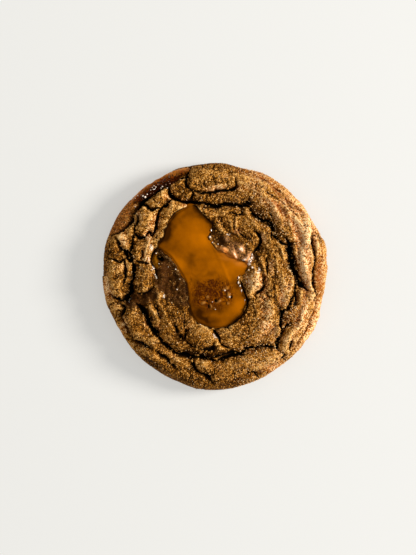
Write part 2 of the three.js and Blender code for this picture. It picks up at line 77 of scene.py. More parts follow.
# %% The cracks
CRACKS = [
    # width, depth, route: the ring that parts the sunken middle from the rim
    (1.5, 4.4, [(-18.4, 36.4), (-18.2, 33.6), (-16.4, 31.6), (-12.4, 29.6), (-9, 29), (-5, 29.4)]),
    (1.3, 4.4, [(-6, 29.4), (-1, 28.1), (5, 28.7), (10, 28.4), (12.4, 28.1), (13.8, 26.6)]),
    (1.3, 2.4, [(10.8, 29.2), (14.2, 29.2)]),
    (1.3, 4.2, [(13.4, 27), (14.4, 25.6), (15.9, 24), (17.9, 22.5), (20.4, 21.8), (21.7, 20.4),
        (22.2, 18), (22.7, 15)]),
    (1, 2.8, [(22.3, 17.2), (24.6, 15.4), (26.6, 13.1), (29, 12.8)]),
    (2.7, 6.2, [(28.4, 15.6), (29.4, 12), (29.9, 8), (30.5, 4.8), (32.2, 1.4), (34.6, -2.4), (37.2, -5.6)]),
    (1, 3.4, [(32.6, -1.6), (31.8, -6.2), (31.8, -10.6), (30.4, -13)]),
    (1, 2.6, [(31.2, -7), (30, -9.4), (29.5, -12), (28.6, -14)]),
    (1.3, 4.2, [(28.6, -13.2), (26.2, -14.6), (25.7, -17.5), (26.2, -20.6)]),
    (1.6, 4.6, [(26.2, -19.8), (26.6, -22), (25.4, -26), (25.6, -28.6), (27, -30.2)]),
    (1.5, 5, [(25.8, -28.4), (20, -27.9), (14, -28.4), (9.6, -30)]),
    (1.3, 4.4, [(12.6, -29.6), (10.4, -30.2), (7.7, -31), (5.2, -31.8), (3.4, -32.5), (0.6, -33.6)]),
    (1.5, 4.8, [(1.2, -33.6), (-1, -33), (-3.2, -32.2), (-6.5, -32.2), (-9.5, -31.4), (-12.4, -30.6),
        (-15.6, -30.2)]),
    (0.9, 3, [(-1.4, -32.2), (1.5, -31.3), (4.6, -30.4), (9.6, -29.9)]),
    (1.6, 4.6, [(-15.6, -30.8), (-12.2, -31.8), (-8.4, -32.6)]),
    (2.9, 6.2, [(-21.8, -25.1), (-23.3, -23.6), (-24.9, -21.4), (-26.4, -18.6), (-28.6, -13.4),
        (-31.2, -10.9)]),
    (1.2, 4.8, [(-12.4, -31.3), (-15.8, -30.6), (-19.1, -28.2), (-21.8, -25.1), (-24, -22.6)]),
    (2.5, 5.8, [(-37.6, -9.6), (-34.8, -7.6), (-33.6, -4.2), (-32.8, -1.2)]),
    (1.5, 5, [(-33.2, -2.6), (-32.4, 0.4), (-31.8, 2.8), (-32.8, 5.6)]),
    (1.1, 4, [(-32.6, 5), (-33.8, 8.4), (-33.9, 10.6), (-33, 14), (-32.6, 16.8)]),
    (1.1, 3.4, [(-37, 10.4), (-35.6, 8.4), (-33.4, 5.6)]),
    (0.8, 2.4, [(-37, 8.6), (-35, 9.7), (-33.8, 9)]),
    # between the plates at the upper left
    (1.4, 4, [(-32.4, 17.6), (-31, 15.5), (-28.6, 15.4), (-27.4, 16)]),
    (0.9, 3, [(-27.6, 15.8), (-26.8, 17.1), (-25.6, 17.4), (-24.6, 16.2)]),
    (1.3, 4.2, [(-24.6, 16.2), (-23, 21.6), (-21.8, 27), (-19, 29.6), (-16.6, 31.6)]),
    (1, 3, [(-22, 27.2), (-26, 27.1), (-27.6, 28.4), (-30.2, 28.8)]),
    (1.8, 4.6, [(-41.4, 16), (-36, 19.6), (-33.6, 22.6), (-32, 26.6), (-28.6, 30.8), (-24, 34.2),
        (-18.6, 36)]),
    (1.3, 4, [(-18.4, 36), (-15.6, 38.2), (-11.8, 39.6), (-10.4, 43.4)]),
    (1.2, 4, [(-11.4, 42), (-11, 39.4), (-11.5, 37.2), (-10.2, 35)]),
    (0.7, 2, [(-10.4, 35.4), (-8.6, 33), (-9.2, 30.6), (-9, 29)]),
    (1.1, 3.2, [(-39.4, 15), (-38.4, 12), (-36.6, 10.2), (-34.2, 10.6)]),
    (0.9, 2.6, [(-32.2, 17), (-31.8, 20), (-31, 22.4), (-31.2, 25.6)]),
    (0.6, 1.6, [(-29, 10.6), (-28.6, 8), (-29.6, 6.2)]),
    (0.7, 1.8, [(-31.8, 6.2), (-30, 5.4), (-28, 5.2), (-25.8, 5.5)]),
    (1.6, 2, [(-23, 8.4), (-21.8, 7.2), (-20.2, 6.2)]),
    (0.7, 1.8, [(-22.6, 12.6), (-24.2, 9.6), (-25.4, 6.4), (-23.8, 3), (-22.8, 0.4), (-22.6, -3)]),
    # round the plates at the left and lower left
    (1.1, 3.2, [(-42, 6.8), (-38.6, 6.3), (-36.4, 7), (-36.2, 2), (-36.6, -3.6)]),
    (1.2, 3.4, [(-42.6, -6.4), (-40.6, -8.6), (-37.4, -9.4)]),
    (1.6, 4.2, [(-38.2, -10.2), (-36.4, -12.6), (-37.6, -16.6), (-35.6, -22), (-32.4, -26),
        (-25.4, -28.4)]),
    (0.6, 1.8, [(-24.2, -10.8), (-22.8, -13.4), (-21.4, -17)]),
    (0.8, 2.2, [(-16.4, -18.8), (-15.2, -21), (-15, -22.6)]),
    (0.9, 2.4, [(-14.4, -23), (-12.8, -24.9)]),
    (0.9, 2.6, [(-11.7, -20.6), (-11.7, -22.6), (-12.2, -25)]),
    (0.6, 1.8, [(-12.6, -17), (-12.4, -19.4)]),
    (0.9, 1.6, [(-11.4, -25.4), (-9.6, -27.4), (-6, -28.8)]),
    (1.7, 2.2, [(-6.4, -28.8), (-2.6, -28.9), (0.8, -28.6)]),
    (0.9, 1.8, [(-32, -6.4), (-29, -6.8), (-26.5, -6.4), (-24.4, -4.6)]),
    (0.9, 2.6, [(-23, -29.2), (-20.4, -32.4), (-18.2, -34.4), (-15.4, -36.4)]),
    (1.2, 3.6, [(-8.6, -32.6), (-8.3, -35.4), (-7.5, -37.2), (-5.4, -38.7), (-3, -39.5), (-0.8, -42)]),
    (0.9, 2.4, [(12, -38.8), (15.6, -38), (17.4, -40.2)]),
    (0.8, 1.8, [(13.4, -31), (8, -31.6), (3, -32.8)]),
    # folds at the right, and small breaks in the middle
    (1.1, 3, [(38.9, 18.6), (38.5, 12.6), (39.9, 7), (39.2, 1), (40, -8)]),
    (1, 2.6, [(26, -21.6), (28, -20.5), (30.2, -18.8)]),
    (1, 2.4, [(30.6, -25.2), (29.8, -27.6), (28.9, -29.8)]),
    (0.9, 2, [(27, -30.2), (27.4, -31.6), (26, -33.6)]),
    (1.5, 3.4, [(15.8, 18.2), (18.1, 15.2), (17.4, 12.2), (15.4, 9.8)]),
    (1, 2.4, [(18.6, 0.8), (19.2, -4), (16, -7.8)]),
    (0.9, 2.4, [(20.4, 8.4), (20.3, 4.4), (20.6, 1.4)]),
    (1.1, 2.8, [(-1.4, -20.8), (0.2, -22.2), (1.5, -24.8), (1.9, -26.4)]),
    (0.7, 2, [(1.9, -26.4), (4, -27.6), (5.6, -28.8)]),
    (1.1, 2.8, [(-10, 34.4), (-2.5, 33.8), (3, 34.5), (8.2, 35.4), (8.3, 38.6)]),
    (0.9, 2.4, [(5.6, 41.2), (12, 41.1), (17, 39.6), (22.6, 36.4), (28.6, 32.4)]),
    (0.7, 1.4, [(9.4, 20), (9.2, 18.2), (11, 16.2), (13, 15.2)]),
    (0.7, 1.6, [(6, 25.4), (8, 25), (10.2, 25.2), (10, 27)]),
    (0.9, 1.8, [(9.8, -1), (10.7, -3.6), (11.7, -6.6), (12.8, -9.6), (12.6, -12.6), (10.8, -15.6)]),
    (0.7, 1.4, [(20.4, -6), (21.6, -8.4)]),
    (0.8, 1.6, [(21.4, 25.6), (22.6, 23.6), (22.8, 21.6)]),
    (0.7, 1.6, [(27.6, 33), (28.6, 31), (31, 27)]),
    (0.7, 1.3, [(41, -7), (39.6, -13), (36.8, -20), (33, -26.4), (29, -31)]),
    (0.7, 1.2, [(41.2, 15), (38.6, 20), (34.6, 25.6), (29.6, 30.4), (24, 35)]),
    (0.7, 1.2, [(33.4, 22.6), (30.4, 26), (26, 30), (20.6, 33.4)]),
]
print(len(CRACKS), "cracks, up to", max(depth for _, depth, _ in CRACKS), "mm deep before they meet")

# %% The folds
FOLDS = [
    # width, height, route: the long folds inside the rim, from the top round to the right
    (3.4, 1.3, [(15, 35), (20, 32), (22.8, 28.8), (24.3, 25), (26.6, 20.6)]),
    (3, 0.9, [(18.6, 37.4), (22, 36), (25, 34.6), (27, 32.6), (28, 30.4)]),
    (2.6, 0.9, [(27.6, 29.4), (28.8, 26), (29.8, 22), (30, 18.8)]),
    (2.6, 0.9, [(30, 24.4), (33, 21), (34.6, 18.8), (35, 16.4)]),
    (4, 1.6, [(33, 29.4), (34.6, 26.6), (36.2, 22.6), (36, 15), (35.4, 8), (35.8, 2.5), (37.2, -2.5),
        (38.4, -8)]),
    (2.4, 1.1, [(39.4, 15), (39.8, 11), (40.2, 7)]),
    (3, 0.7, [(41.6, 18), (43, 12), (43.4, 4), (43.2, -6)]),
    (3, 0.9, [(5, 43), (11, 39.9), (15, 39.4), (20, 36.8)]),
    (2.6, 0.7, [(8, 36.8), (12, 36.6), (15.6, 34.6)]),
    (2.4, 0.8, [(31.6, 12.8), (32.4, 8.6), (33.4, 4.4)]),
    # round the middle, right of the pool
    (3, 0.9, [(10.8, 27.4), (13, 25.4), (15, 22.6), (17.2, 19.6)]),
    (2.2, 0.8, [(9.2, 24.6), (8.4, 21), (8.6, 18.8), (9.8, 16.6), (11.2, 14.6)]),
    (3, 1.3, [(0.4, 21.6), (2, 19.4), (4.8, 16.4)]),
    (2, 0.6, [(5.4, 23), (6.2, 20.4), (7, 18)]),
    (2.4, 0.8, [(18.4, 21.2), (20.4, 19.2), (21.8, 17), (22.5, 14.4), (22, 12)]),
    (2.6, 1.1, [(25, 13.4), (26.6, 11), (27.5, 8), (28.2, 6)]),
    (1.8, 0.7, [(17.8, 8.4), (18.7, 5), (19.4, 1.6)]),
    (2.6, 0.6, [(23, 8.6), (24.4, 4), (25.6, -1)]),
    (3, 0.9, [(29, 3.6), (30.8, 0.4), (31, -3.4), (29.6, -7), (28.8, -10.4)]),
    (3, 1.2, [(20.6, -11), (22.8, -11.8), (23, -14), (22, -16.6), (20.4, -18.6), (17.6, -19)]),
    (2.6, 0.8, [(23.4, -16), (24.8, -19), (25, -24), (24.2, -27)]),
    (2, 0.5, [(14.6, -9), (16.6, -12), (17.6, -15.6)]),
    (1.8, 0.5, [(24, -2.6), (24.6, -6.4), (25.6, -10)]),
    # the rim at the lower right
    (3, 1.1, [(27, -28.4), (28.4, -25), (30.8, -21.6), (33.8, -17.8), (35, -13.4), (36.6, -10)]),
    (2.6, 0.7, [(41.4, -9.6), (40, -16), (36.6, -22.6), (32, -28.6)]),
    (2.4, 0.6, [(32.6, -12.6), (34, -8.6), (35.4, -5.6)]),
    # the strips beside the wide crack at the lower left, and the wet hollow above them
    (2.2, 0.8, [(-26, -11.2), (-24.4, -14.4), (-22.4, -18.6)]),
    (2.2, 0.7, [(-21.6, -11), (-20, -14.6), (-18.4, -18.6), (-16.6, -20.6)]),
    (2, 0.6, [(-18.6, -10.6), (-17.2, -13)]),
    (2, 0.5, [(-13.4, -9), (-12.6, -13), (-11.4, -16)]),
    (1.4, 0.8, [(-23.2, 10.8), (-21, 9.2), (-18.2, 7), (-16.2, 4.6)]),
    (1.4, 0.5, [(-6.5, -19.6), (-1.6, -21), (0.2, -23.6), (1, -26)]),
]
print(len(FOLDS), "folds, up to", max(height for _, height, _ in FOLDS), "mm high")

# %% [markdown]
# Wider forms are patches: soft ellipses that fade to their edge. A row gives the place, x and y, the half
# length and half width, the angle of the length in degrees, and for a lump or hollow its height in mm. The
# knobs are the small steep lumps right of the pool.

# %% Lumps, hollows and knobs
LUMPS = [
    (-5.2, -24, 7.5, 6.4, -25, 1.6), (16, -1.6, 6, 3.6, 84, 1.6), (13.6, -6.6, 2.4, 1.6, 70, 0.8),
    (0.8, 14.6, 4.4, 3.2, -40, -1.3), (6, 13, 3, 1.6, -30, -0.4), (-1.6, 19, 1.6, 3.4, 0, -0.8),
    (18, 26, 5.4, 4.4, -45, -1.6), (-18, -0.6, 10, 5.6, 72, -2.0), (-30, -8.2, 6, 2, 12, -2.0),
    (-21.8, 6.8, 2.4, 1.8, -30, -1.6), (-14, -24.4, 2.8, 2.2, -20, -1.2), (-8, -30.8, 7, 1.8, -6, -1.0),
    (-22.2, -7.6, 2.4, 2, 0, 1.7), (-28, 27, 1.7, 1.5, 0, 0.8), (-20.6, 31.6, 4.4, 3, 30, 0.7),
    (-27.4, 22, 5.4, 3.8, 80, 0.6), (-26.6, 10.6, 5, 2.6, 75, 0.7), (-28, 0, 6, 4, 80, 0.6),
    (-39, -4, 5.4, 3, 80, 0.6), (-33.4, -18, 8, 4, -58, 0.7), (-17.6, -25.4, 6, 3, -30, 0.8),
    (-13.8, -33.4, 6.4, 2.6, -35, 1.1), (-4.4, -35.4, 4.6, 3.4, -10, 1.0), (22.4, -32.4, 5, 3, 20, 1.0),
    (-26, -31, 6.4, 2.4, -35, 0.7), (28.6, -17, 3.4, 2.6, 60, -0.8), (-14.4, 34.6, 3.6, 3.4, 0, -0.6),
    (0, 32, 9, 2.6, 0, -0.6), (-3, 39.6, 8, 4, 0, 0.8), (27, -3, 5.6, 4.4, 80, 0.7),
]
KNOBS = [
    (10.4, 10.9, 2.8, 2.6, -30, 2.0), (7.2, 9.2, 3.4, 2.1, -62, 1.5), (3.4, 10.6, 2.2, 1.8, 0, 1.2),
    (12.6, 6.9, 3.6, 1.9, 18, 1.6), (13.9, 9.2, 1.6, 2.2, 0, 0.8), (5, 14.6, 2.4, 1.4, -50, 0.8),
]
print(len(LUMPS), "lumps and hollows,", len(KNOBS), "knobs")

# %% [markdown]
# Toffee has soaked and glazed the dough beside the pool. Those places have uneven edges, so each is a
# closed outline instead. A sliver of toffee shows in a gap between two plates, and the rim is stained where
# toffee ran over it.

# %% Glazed places
WET_HOLLOW = [
    (-24.6, 9.6), (-22.6, 12.2), (-17, 9.4), (-13, 5.2), (-10, 0), (-8.4, -6), (-8.6, -10), (-12.2, -12),
    (-15.6, -11), (-19, -9.6), (-20.4, -6.4), (-23, -5), (-24.2, -2), (-23.6, 2), (-24.6, 5),
]
WET_GULLY = [
    (-36, -10.4), (-33, -7), (-28, -6), (-23.6, -5), (-22, -7), (-25, -10), (-30, -11.4), (-35, -12.6),
]
WET_KNOBS = [
    (-3, 24), (-1.4, 19), (3, 16.6), (8, 16), (11.6, 12.6), (15.2, 9.8), (15, 5.6), (12, 4), (6, 7),
    (0, 10), (-3.4, 15), (-4.4, 21),
]
SLIVER = [
    (-24.8, 8.8), (-23.2, 8.4), (-22.4, 5.6), (-22.6, 3.4), (-23.6, 3), (-24.2, 5), (-25, 7),
]
STAINED_RIM = [
    (-30, 33.6), (-32.6, 27.6), (-36, 20.4), (-41.6, 16.6), (-43, 17.6), (-39, 26), (-33, 33),
]
print("points of the outlines:", *[len(o) for o in (WET_HOLLOW, WET_GULLY, WET_KNOBS, SLIVER, STAINED_RIM)])

# %% [markdown]
# The pool of toffee is an outline round a point that we call its heart. The toffee on the rim is a blister
# between two angles, over a stretch of the profile.

# %% The two toffees
POOL_HEART = (-9, 8)
POOL_OUTLINE = [
    (-10, 28.2), (-12.6, 26.8), (-15.6, 25), (-17.8, 22.2), (-19.8, 19), (-20.8, 15.6), (-22.8, 12.2),
    (-21, 10.2), (-18, 8), (-16, 5.4), (-14.4, 2.8), (-12.4, -0.6), (-11.4, -3.2), (-10.8, -7),
    (-10.4, -10.4), (-9.8, -14), (-8.2, -16.8), (-6, -18.8), (-3, -20), (1, -20.4), (5, -19.8),
    (8.6, -17.6), (11, -14.6), (12.2, -11), (11.8, -8.6), (10.8, -6), (9.6, -3), (9.3, 0), (11.4, 1.6),
    (13.3, 4.4), (12, 5.8), (9, 6.6), (6, 7.6), (2.8, 9.2), (0.8, 10.6), (-1.2, 13.2), (-2.5, 15.4),
    (-1.9, 18), (-1.3, 20.6), (-3.2, 23.2), (-5.6, 25.4), (-7.6, 27.4),
]
POOL_LEVEL, POOL_DEPTH = 12.6, 4.2
# the lower half of the pool lies deeper: where its step starts, how far it drops and over what length
POOL_STEP_AT, POOL_STEP_DROP, POOL_STEP_OVER = -0.8, 0.5, 2.5
# the rim's toffee: its angles in degrees, its stretch of the profile, how far it stands out and reaches in
LEAK_FROM, LEAK_TO, LEAK_INNER, LEAK_OUTER = 103, 140, 41, 49.5
LEAK_ABOVE, LEAK_BELOW = 0.7, 1.7
print(f"the rim's toffee is {math.radians(LEAK_TO - LEAK_FROM) * COOKIE_RADIUS:.0f} mm long")

# %% [markdown]
# ## Noise
# Baked dough is uneven at every size. We make that with value noise: each corner of a grid gets a fixed
# random number, and a point takes the smooth mix of the four corners round it. A hash gives the numbers, so
# that every run gives the same cookie. `cells` is a second kind: the distance to the nearest of many
# scattered points, which gives round grains.

# %% Noise on arrays
FAR = 99.0


def smooth(t):
    """An even slope from 0 to 1 with soft ends."""
    t = np.clip(t, 0, 1)
    return t * t * (3 - 2 * t)


def corner_value(i, j, seed):
    """A number from -1 to 1 that belongs to one corner of a grid."""
    with np.errstate(over="ignore"):
        h = i.astype(np.int64).astype(np.uint32) * np.uint32(374761393)
        h = h + j.astype(np.int64).astype(np.uint32) * np.uint32(668265263)
        h = h + np.uint32((seed * 974634777) % 2**32)
        h = (h ^ (h >> np.uint32(13))) * np.uint32(1274126177)
        h = h ^ (h >> np.uint32(16))
    return h.astype(np.float64) / 2**31 - 1


def noise(x, y, seed):
    """Value noise from -1 to 1 whose features are about 1 wide."""
    i, j = np.floor(x), np.floor(y)
    u, v = smooth(x - i), smooth(y - j)
    near = corner_value(i, j, seed) * (1 - u) + corner_value(i + 1, j, seed) * u
    far = corner_value(i, j + 1, seed) * (1 - u) + corner_value(i + 1, j + 1, seed) * u
    return near * (1 - v) + far * v


def shaken(x, y, *waves):
    """Points moved about by noise. A wave is a strength, a size in mm, a seed for x and one for y."""
    moved_x, moved_y = x, y
    for strength, size, seed_x, seed_y in waves:
        moved_x = moved_x + strength * noise(x / size, y / size, seed_x)
        moved_y = moved_y + strength * noise(x / size, y / size, seed_y)
    return moved_x, moved_y


def layered(x, y, seed, octaves):
    """Noise with finer and fainter noise on top, from about -1 to 1."""
    return sum(noise(x * 2**k, y * 2**k, seed + 17 * k) / 1.7**k for k in range(octaves)) / 1.6


def cells(x, y, seed):
    """Distance to the nearest scattered point, its own number, and how much farther the next one is."""
    i, j = np.floor(x), np.floor(y)
    least, second, own = np.full(x.shape, FAR), np.full(x.shape, FAR), np.zeros(x.shape)
    for di in (-1, 0, 1):
        for dj in (-1, 0, 1):
            ci, cj = i + di, j + dj
            px = ci + 0.5 + 0.42 * corner_value(ci, cj, seed)
            py = cj + 0.5 + 0.42 * corner_value(ci, cj, seed + 1)
            distance = np.hypot(x - px, y - py)
            closer = distance < least
            second = np.where(closer, least, np.minimum(second, distance))
            least = np.where(closer, distance, least)
            own = np.where(closer, corner_value(ci, cj, seed + 2), own)
    return least, own, second - least


print("noise spans", np.round(noise(np.arange(50) * 0.37, np.arange(50) * 0.11, 1)[[0, 9, 25]], 2))

# %% [markdown]
# ## Curves and the skin
# A Catmull-Rom curve passes through all its points, so it suits routes that are given by what they pass.
# From the profile we work out one function that every later step uses: `skin(angle, along, off)` is the
# point at an angle, some way along the profile from the middle of the top, and some way off the surface.

# %% Curves through points
def through(points, step, closed=False):
    """Points about `step` apart on the smooth curve through the given ones."""
    p = np.array(points, float)
    if closed:
        p = np.vstack([p[-1:], p, p[:2]])
    else:
        p = np.vstack([2 * p[:1] - p[1:2], p, 2 * p[-1:] - p[-2:-1]])
    t = np.linspace(0, 1, 40, endpoint=False)[:, None]
    pieces = []
    for a, b, c, d in zip(p[:-3], p[1:-2], p[2:-1], p[3:]):
        pieces.append(b + 0.5 * t * (c - a + t * (2 * a - 5 * b + 4 * c - d + t * (3 * (b - c) + d - a))))
    fine = np.vstack([*pieces, p[-2:-1]])
    run = np.concatenate([[0], np.cumsum(np.hypot(*np.diff(fine, axis=0).T))])
    count = max(2, int(math.ceil(run[-1] / step)) + 1)
    places = np.linspace(0, run[-1], count)
    return np.column_stack([np.interp(places, run, fine[:, k]) for k in (0, 1)])


PROFILE_STEP = 0.1
top_points = through(TOP_PROFILE, PROFILE_STEP)
side_points = through(SIDE_PROFILE, PROFILE_STEP)
profile = np.vstack([top_points, side_points[1:]])
profile_run = np.concatenate([[0], np.cumsum(np.hypot(*np.diff(profile, axis=0).T))])
profile_lean = np.gradient(profile, profile_run, axis=0)
TOP_RUN = profile_run[len(top_points) - 1]
WHOLE_RUN = profile_run[-1]
print(f"the profile is {TOP_RUN:.1f} mm to the widest point and {WHOLE_RUN:.1f} mm to the foot")


# %% The skin
def rim_radius(angle):
    """The outline's radius at an angle, on a smooth curve through the radii that are given."""
    count = len(RIM_RADII)
    place = (angle / math.tau * count) % count
    i = np.floor(place).astype(int)
    r0, r1, r2, r3 = (np.array(RIM_RADII)[(i + k) % count] for k in (-1, 0, 1, 2))
    t = place - i
    return r1 + 0.5 * t * (r2 - r0 + t * (2 * r0 - 5 * r1 + 4 * r2 - r3 + t * (3 * (r1 - r2) + r3 - r0)))


def skin(angle, along, off=0.0):
    """The point at an angle, some way along the profile and some way off the surface."""
    radius, height = (np.interp(along, profile_run, profile[:, k]) for k in (0, 1))
    lean_out, lean_up = (np.interp(along, profile_run, profile_lean[:, k]) for k in (0, 1))
    length = np.hypot(lean_out, lean_up)
    radius = radius / COOKIE_RADIUS * rim_radius(angle) - lean_up / length * off
    height = height + lean_out / length * off
    return np.column_stack([radius * np.cos(angle), radius * np.sin(angle), height])


print("widest point at the right:", np.round(skin(np.zeros(1), np.array([TOP_RUN]))[0], 1), "mm")


# %% [markdown]
# ## Relief
# The dough's cracks, folds and lumps are a height that is added to the smooth skin. For each crack we find
# how far every point of the dough is from it. Near the crack the dough rounds over like a cushion, and
# inside it falls steeply. Before measuring, the points are shifted a little by noise, which makes the edges
# ragged. The same noise as in the plain solid gives the swellings and wrinkles, so the two agree.

# %% Distances to routes
ROUTE_STEP, OUTLINE_STEP = 0.25, 0.4
CRACK_REACH, FOLD_REACH = 5.5, 3
AT_ONCE = 4000


def eased_ends(count):
    """Shares that rise from the ends of a route to 1 along its middle."""
    run = np.arange(count)
    return 0.35 + 0.65 * smooth(np.minimum(run, count - 1 - run) / (0.2 * (count - 1)))


def nearest_on(x, y, route, reach):
    """Which points lie within reach of a route, their distance to it and the route's eased share there."""
    line = through(route, ROUTE_STEP)
    ease = eased_ends(len(line))
    low, high = line.min(0) - reach, line.max(0) + reach
    inside = np.flatnonzero((x > low[0]) & (x < high[0]) & (y > low[1]) & (y < high[1]))
    distance, share = np.empty(len(inside)), np.empty(len(inside))
    for part in np.array_split(np.arange(len(inside)), max(1, len(inside) // AT_ONCE)):
        at = inside[part]
        apart = np.hypot(x[at][:, None] - line[:, 0], y[at][:, None] - line[:, 1])
        closest = apart.argmin(1)
        distance[part] = apart[np.arange(len(part)), closest]
        share[part] = ease[closest]
    return inside, distance, share


def patch(x, y, middle_x, middle_y, half_length, half_width, turn):
    """1 in the middle of an elliptical patch, 0 at its edge and beyond."""
    c, s = math.cos(math.radians(turn)), math.sin(math.radians(turn))
    along = (c * (x - middle_x) + s * (y - middle_y)) / half_length
    across = (c * (y - middle_y) - s * (x - middle_x)) / half_width
    return smooth(1 - np.hypot(along, across))


def any_patch(x, y, places):
    """The strongest of several patches at each point."""
    return np.max([patch(x, y, *place) for place in places], axis=0)


def tallest(x, y, rows):
    """The tallest of several lumps at each point."""
    return np.max([height * patch(x, y, *place) for *place, height in rows], axis=0)


def summed(x, y, rows):
    """The sum of patches, each times the amount that ends its row."""
    return sum(amount * patch(x, y, *place) for *place, amount in rows)


print("a patch at its middle and half way out:", patch(np.array([0, 2]), np.zeros(2), 0, 0, 4, 4, 0))


# %% Cracks and folds as height
def crack_fall(distance, half_width, depth):
    """A rounded shoulder, then a groove with steep walls."""
    shoulder, lip = 0.5 + 0.6 * depth, 0.42 * depth
    outside = lip * np.clip(1 - (distance - half_width) / shoulder, 0, 1) ** 2
    inside = lip + (depth - lip) * (1 - np.clip(distance / half_width, 0, 1) ** 2.2)
    return np.where(distance < half_width, inside, outside)


def cracks_at(x, y):
    """How far the cracks lower the dough, and how far inside a crack each point is, from 0 to 1."""
    fall, inside_crack = np.zeros(x.shape), np.zeros(x.shape)
    wide = 1 + 0.4 * noise(x / 2.7, y / 2.7, 41) + 0.3 * noise(x / 1.1, y / 1.1, 42)
    for width, depth, route in CRACKS:
        near, distance, share = nearest_on(x, y, route, CRACK_REACH)
        half_width = np.maximum(0.4, 0.56 * width * share * wide[near])
        fall[near] = np.maximum(fall[near], crack_fall(distance, half_width, depth * share))
        here = smooth(1.2 - distance / half_width) * smooth(depth * share / 2.6)
        inside_crack[near] = np.maximum(inside_crack[near], here)
    return fall, inside_crack


def folds_at(x, y):
    """How far the folds raise the dough: each is a rounded ridge along its route."""
    rise = np.zeros(x.shape)
    for width, height, route in FOLDS:
        near, distance, share = nearest_on(x, y, route, FOLD_REACH)
        ridge = (1 - np.clip(2 * distance / width, 0, 1) ** 2) ** 2
        rise[near] = np.maximum(rise[near], height * share * ridge)
    return rise


print("a crack 2 mm wide and 4 mm deep, at 0, 1 and 2 mm:", crack_fall(np.array([0, 1, 2]), 1, 4).round(1))


# %% Swellings and wrinkles that run round the rim
def ring_noise(x, y, along, across, height, seed):
    """Noise in rings: its features are `along` mm long round the cookie and `across` mm wide."""
    radius, turns = np.hypot(x, y), np.arctan2(y, x) / math.tau + 0.5
    count = np.maximum(3, np.floor(math.tau * np.minimum(radius, 30) / along + 0.5))
    fade_in = smooth(turns * 6)
    before = noise(turns * count, radius / across, seed)
    after = noise((turns - 1) * count, radius / across, seed)
    return height * (fade_in * before + (1 - fade_in) * after)


def swell_at(x, y):
    """The broad swellings, which the plain solid has too."""
    return ring_noise(x, y, 9, 6, 0.5, 1) + ring_noise(x, y, 6, 2.6, 0.5, 2)


print("swellings along the x axis:", swell_at(np.arange(10, 45, 10.0), np.zeros(4)).round(2), "mm")


# %% [markdown]
# ## The hollow under the pool
# The toffee lies in the dough. We don't cut a hole: inside the pool's outline the dough simply dips below
# the toffee, and the two meshes cross where the toffee's edge shows. For that we need each point's distance
# to the outline, positive outside and negative inside.

# %% Distance to an outline
def outline_distance(x, y, outline):
    """Distance to a closed outline that runs anticlockwise or clockwise: negative inside it."""
    ahead = np.roll(outline, -1, axis=0) - outline
    area = (outline[:, 0] * ahead[:, 1] - outline[:, 1] * ahead[:, 0]).sum()
    distance = np.full(x.shape, FAR)
    low, high = outline.min(0) - 4, outline.max(0) + 4
    close = np.flatnonzero((x > low[0]) & (x < high[0]) & (y > low[1]) & (y < high[1]))
    for part in np.array_split(close, max(1, len(close) // AT_ONCE)):
        dx, dy = (axis[part][:, None] - outline[:, k] for k, axis in enumerate((x, y)))
        apart = np.hypot(dx, dy)
        closest = apart.argmin(1)
        rows = np.arange(len(part))
        side = ahead[closest, 0] * dy[rows, closest] - ahead[closest, 1] * dx[rows, closest]
        distance[part] = np.where(side * area > 0, -1, 1) * apart[rows, closest]
    return distance


def closed_line(outline):
    """Close-set points once round an outline."""
    return through(outline, OUTLINE_STEP, closed=True)[:-1]


def soaked_in(x, y, outline, soft):
    """1 inside an outline, falling to 0 over a soft edge."""
    return smooth(0.5 - outline_distance(x, y, closed_line(outline)) / soft)


pool_edge = closed_line(POOL_OUTLINE)
at_heart = outline_distance(*np.array([[POOL_HEART[0]], [POOL_HEART[1]]], float), pool_edge)
print(f"pool edge: {len(pool_edge)} points, and its heart is {-at_heart[0]:.1f} mm inside")

# %% [markdown]
# ## The dough's mesh
# A disc of even triangles is the best start for a surface that is displaced: a spun profile would crowd its
# triangles at the middle. `create_circle` with six sides and a fan of triangles gives a hexagon, and
# `subdivide_edges` splits it into rings of even triangles. We then move ring after ring on to the skin,
# from the middle of the top to the foot.

# %% A hexagon of even triangles
DOUGH_RINGS = 170


def hexagon_disc(rings):
    """A bmesh disc of 6 * rings**2 triangles."""
    bm = bmesh.new()
    bmesh.ops.create_circle(bm, segments=6, radius=1, cap_ends=True, cap_tris=True)
    bmesh.ops.subdivide_edges(bm, edges=bm.edges[:], cuts=rings - 1, use_grid_fill=True)
    return bm


def ring_places(points):
    """Each hexagon point's share of the way out and its angle, as if the rings were round."""
    sixth, twelfth = math.tau / 6, math.tau / 12
    first_corner = twelfth
    angle = (np.arctan2(points[:, 1], points[:, 0]) - first_corner) % math.tau
    sector = np.floor(angle / sixth + 1e-6)
    within = angle - sector * math.tau / 6
    radius = np.hypot(points[:, 0], points[:, 1])
    share = radius * np.cos(within - twelfth) / math.cos(twelfth)
    cross = 0.5 + np.tan(within - twelfth) / (2 * math.tan(twelfth))
    return share, (first_corner + (sector + np.clip(cross, 0, 1)) * math.tau / 6) % math.tau


disc = hexagon_disc(DOUGH_RINGS)
flat_points = np.array([v.co[:] for v in disc.verts])
share, angle = ring_places(flat_points)
print("dough disc:", len(disc.verts), "points,", len(disc.faces), "triangles")

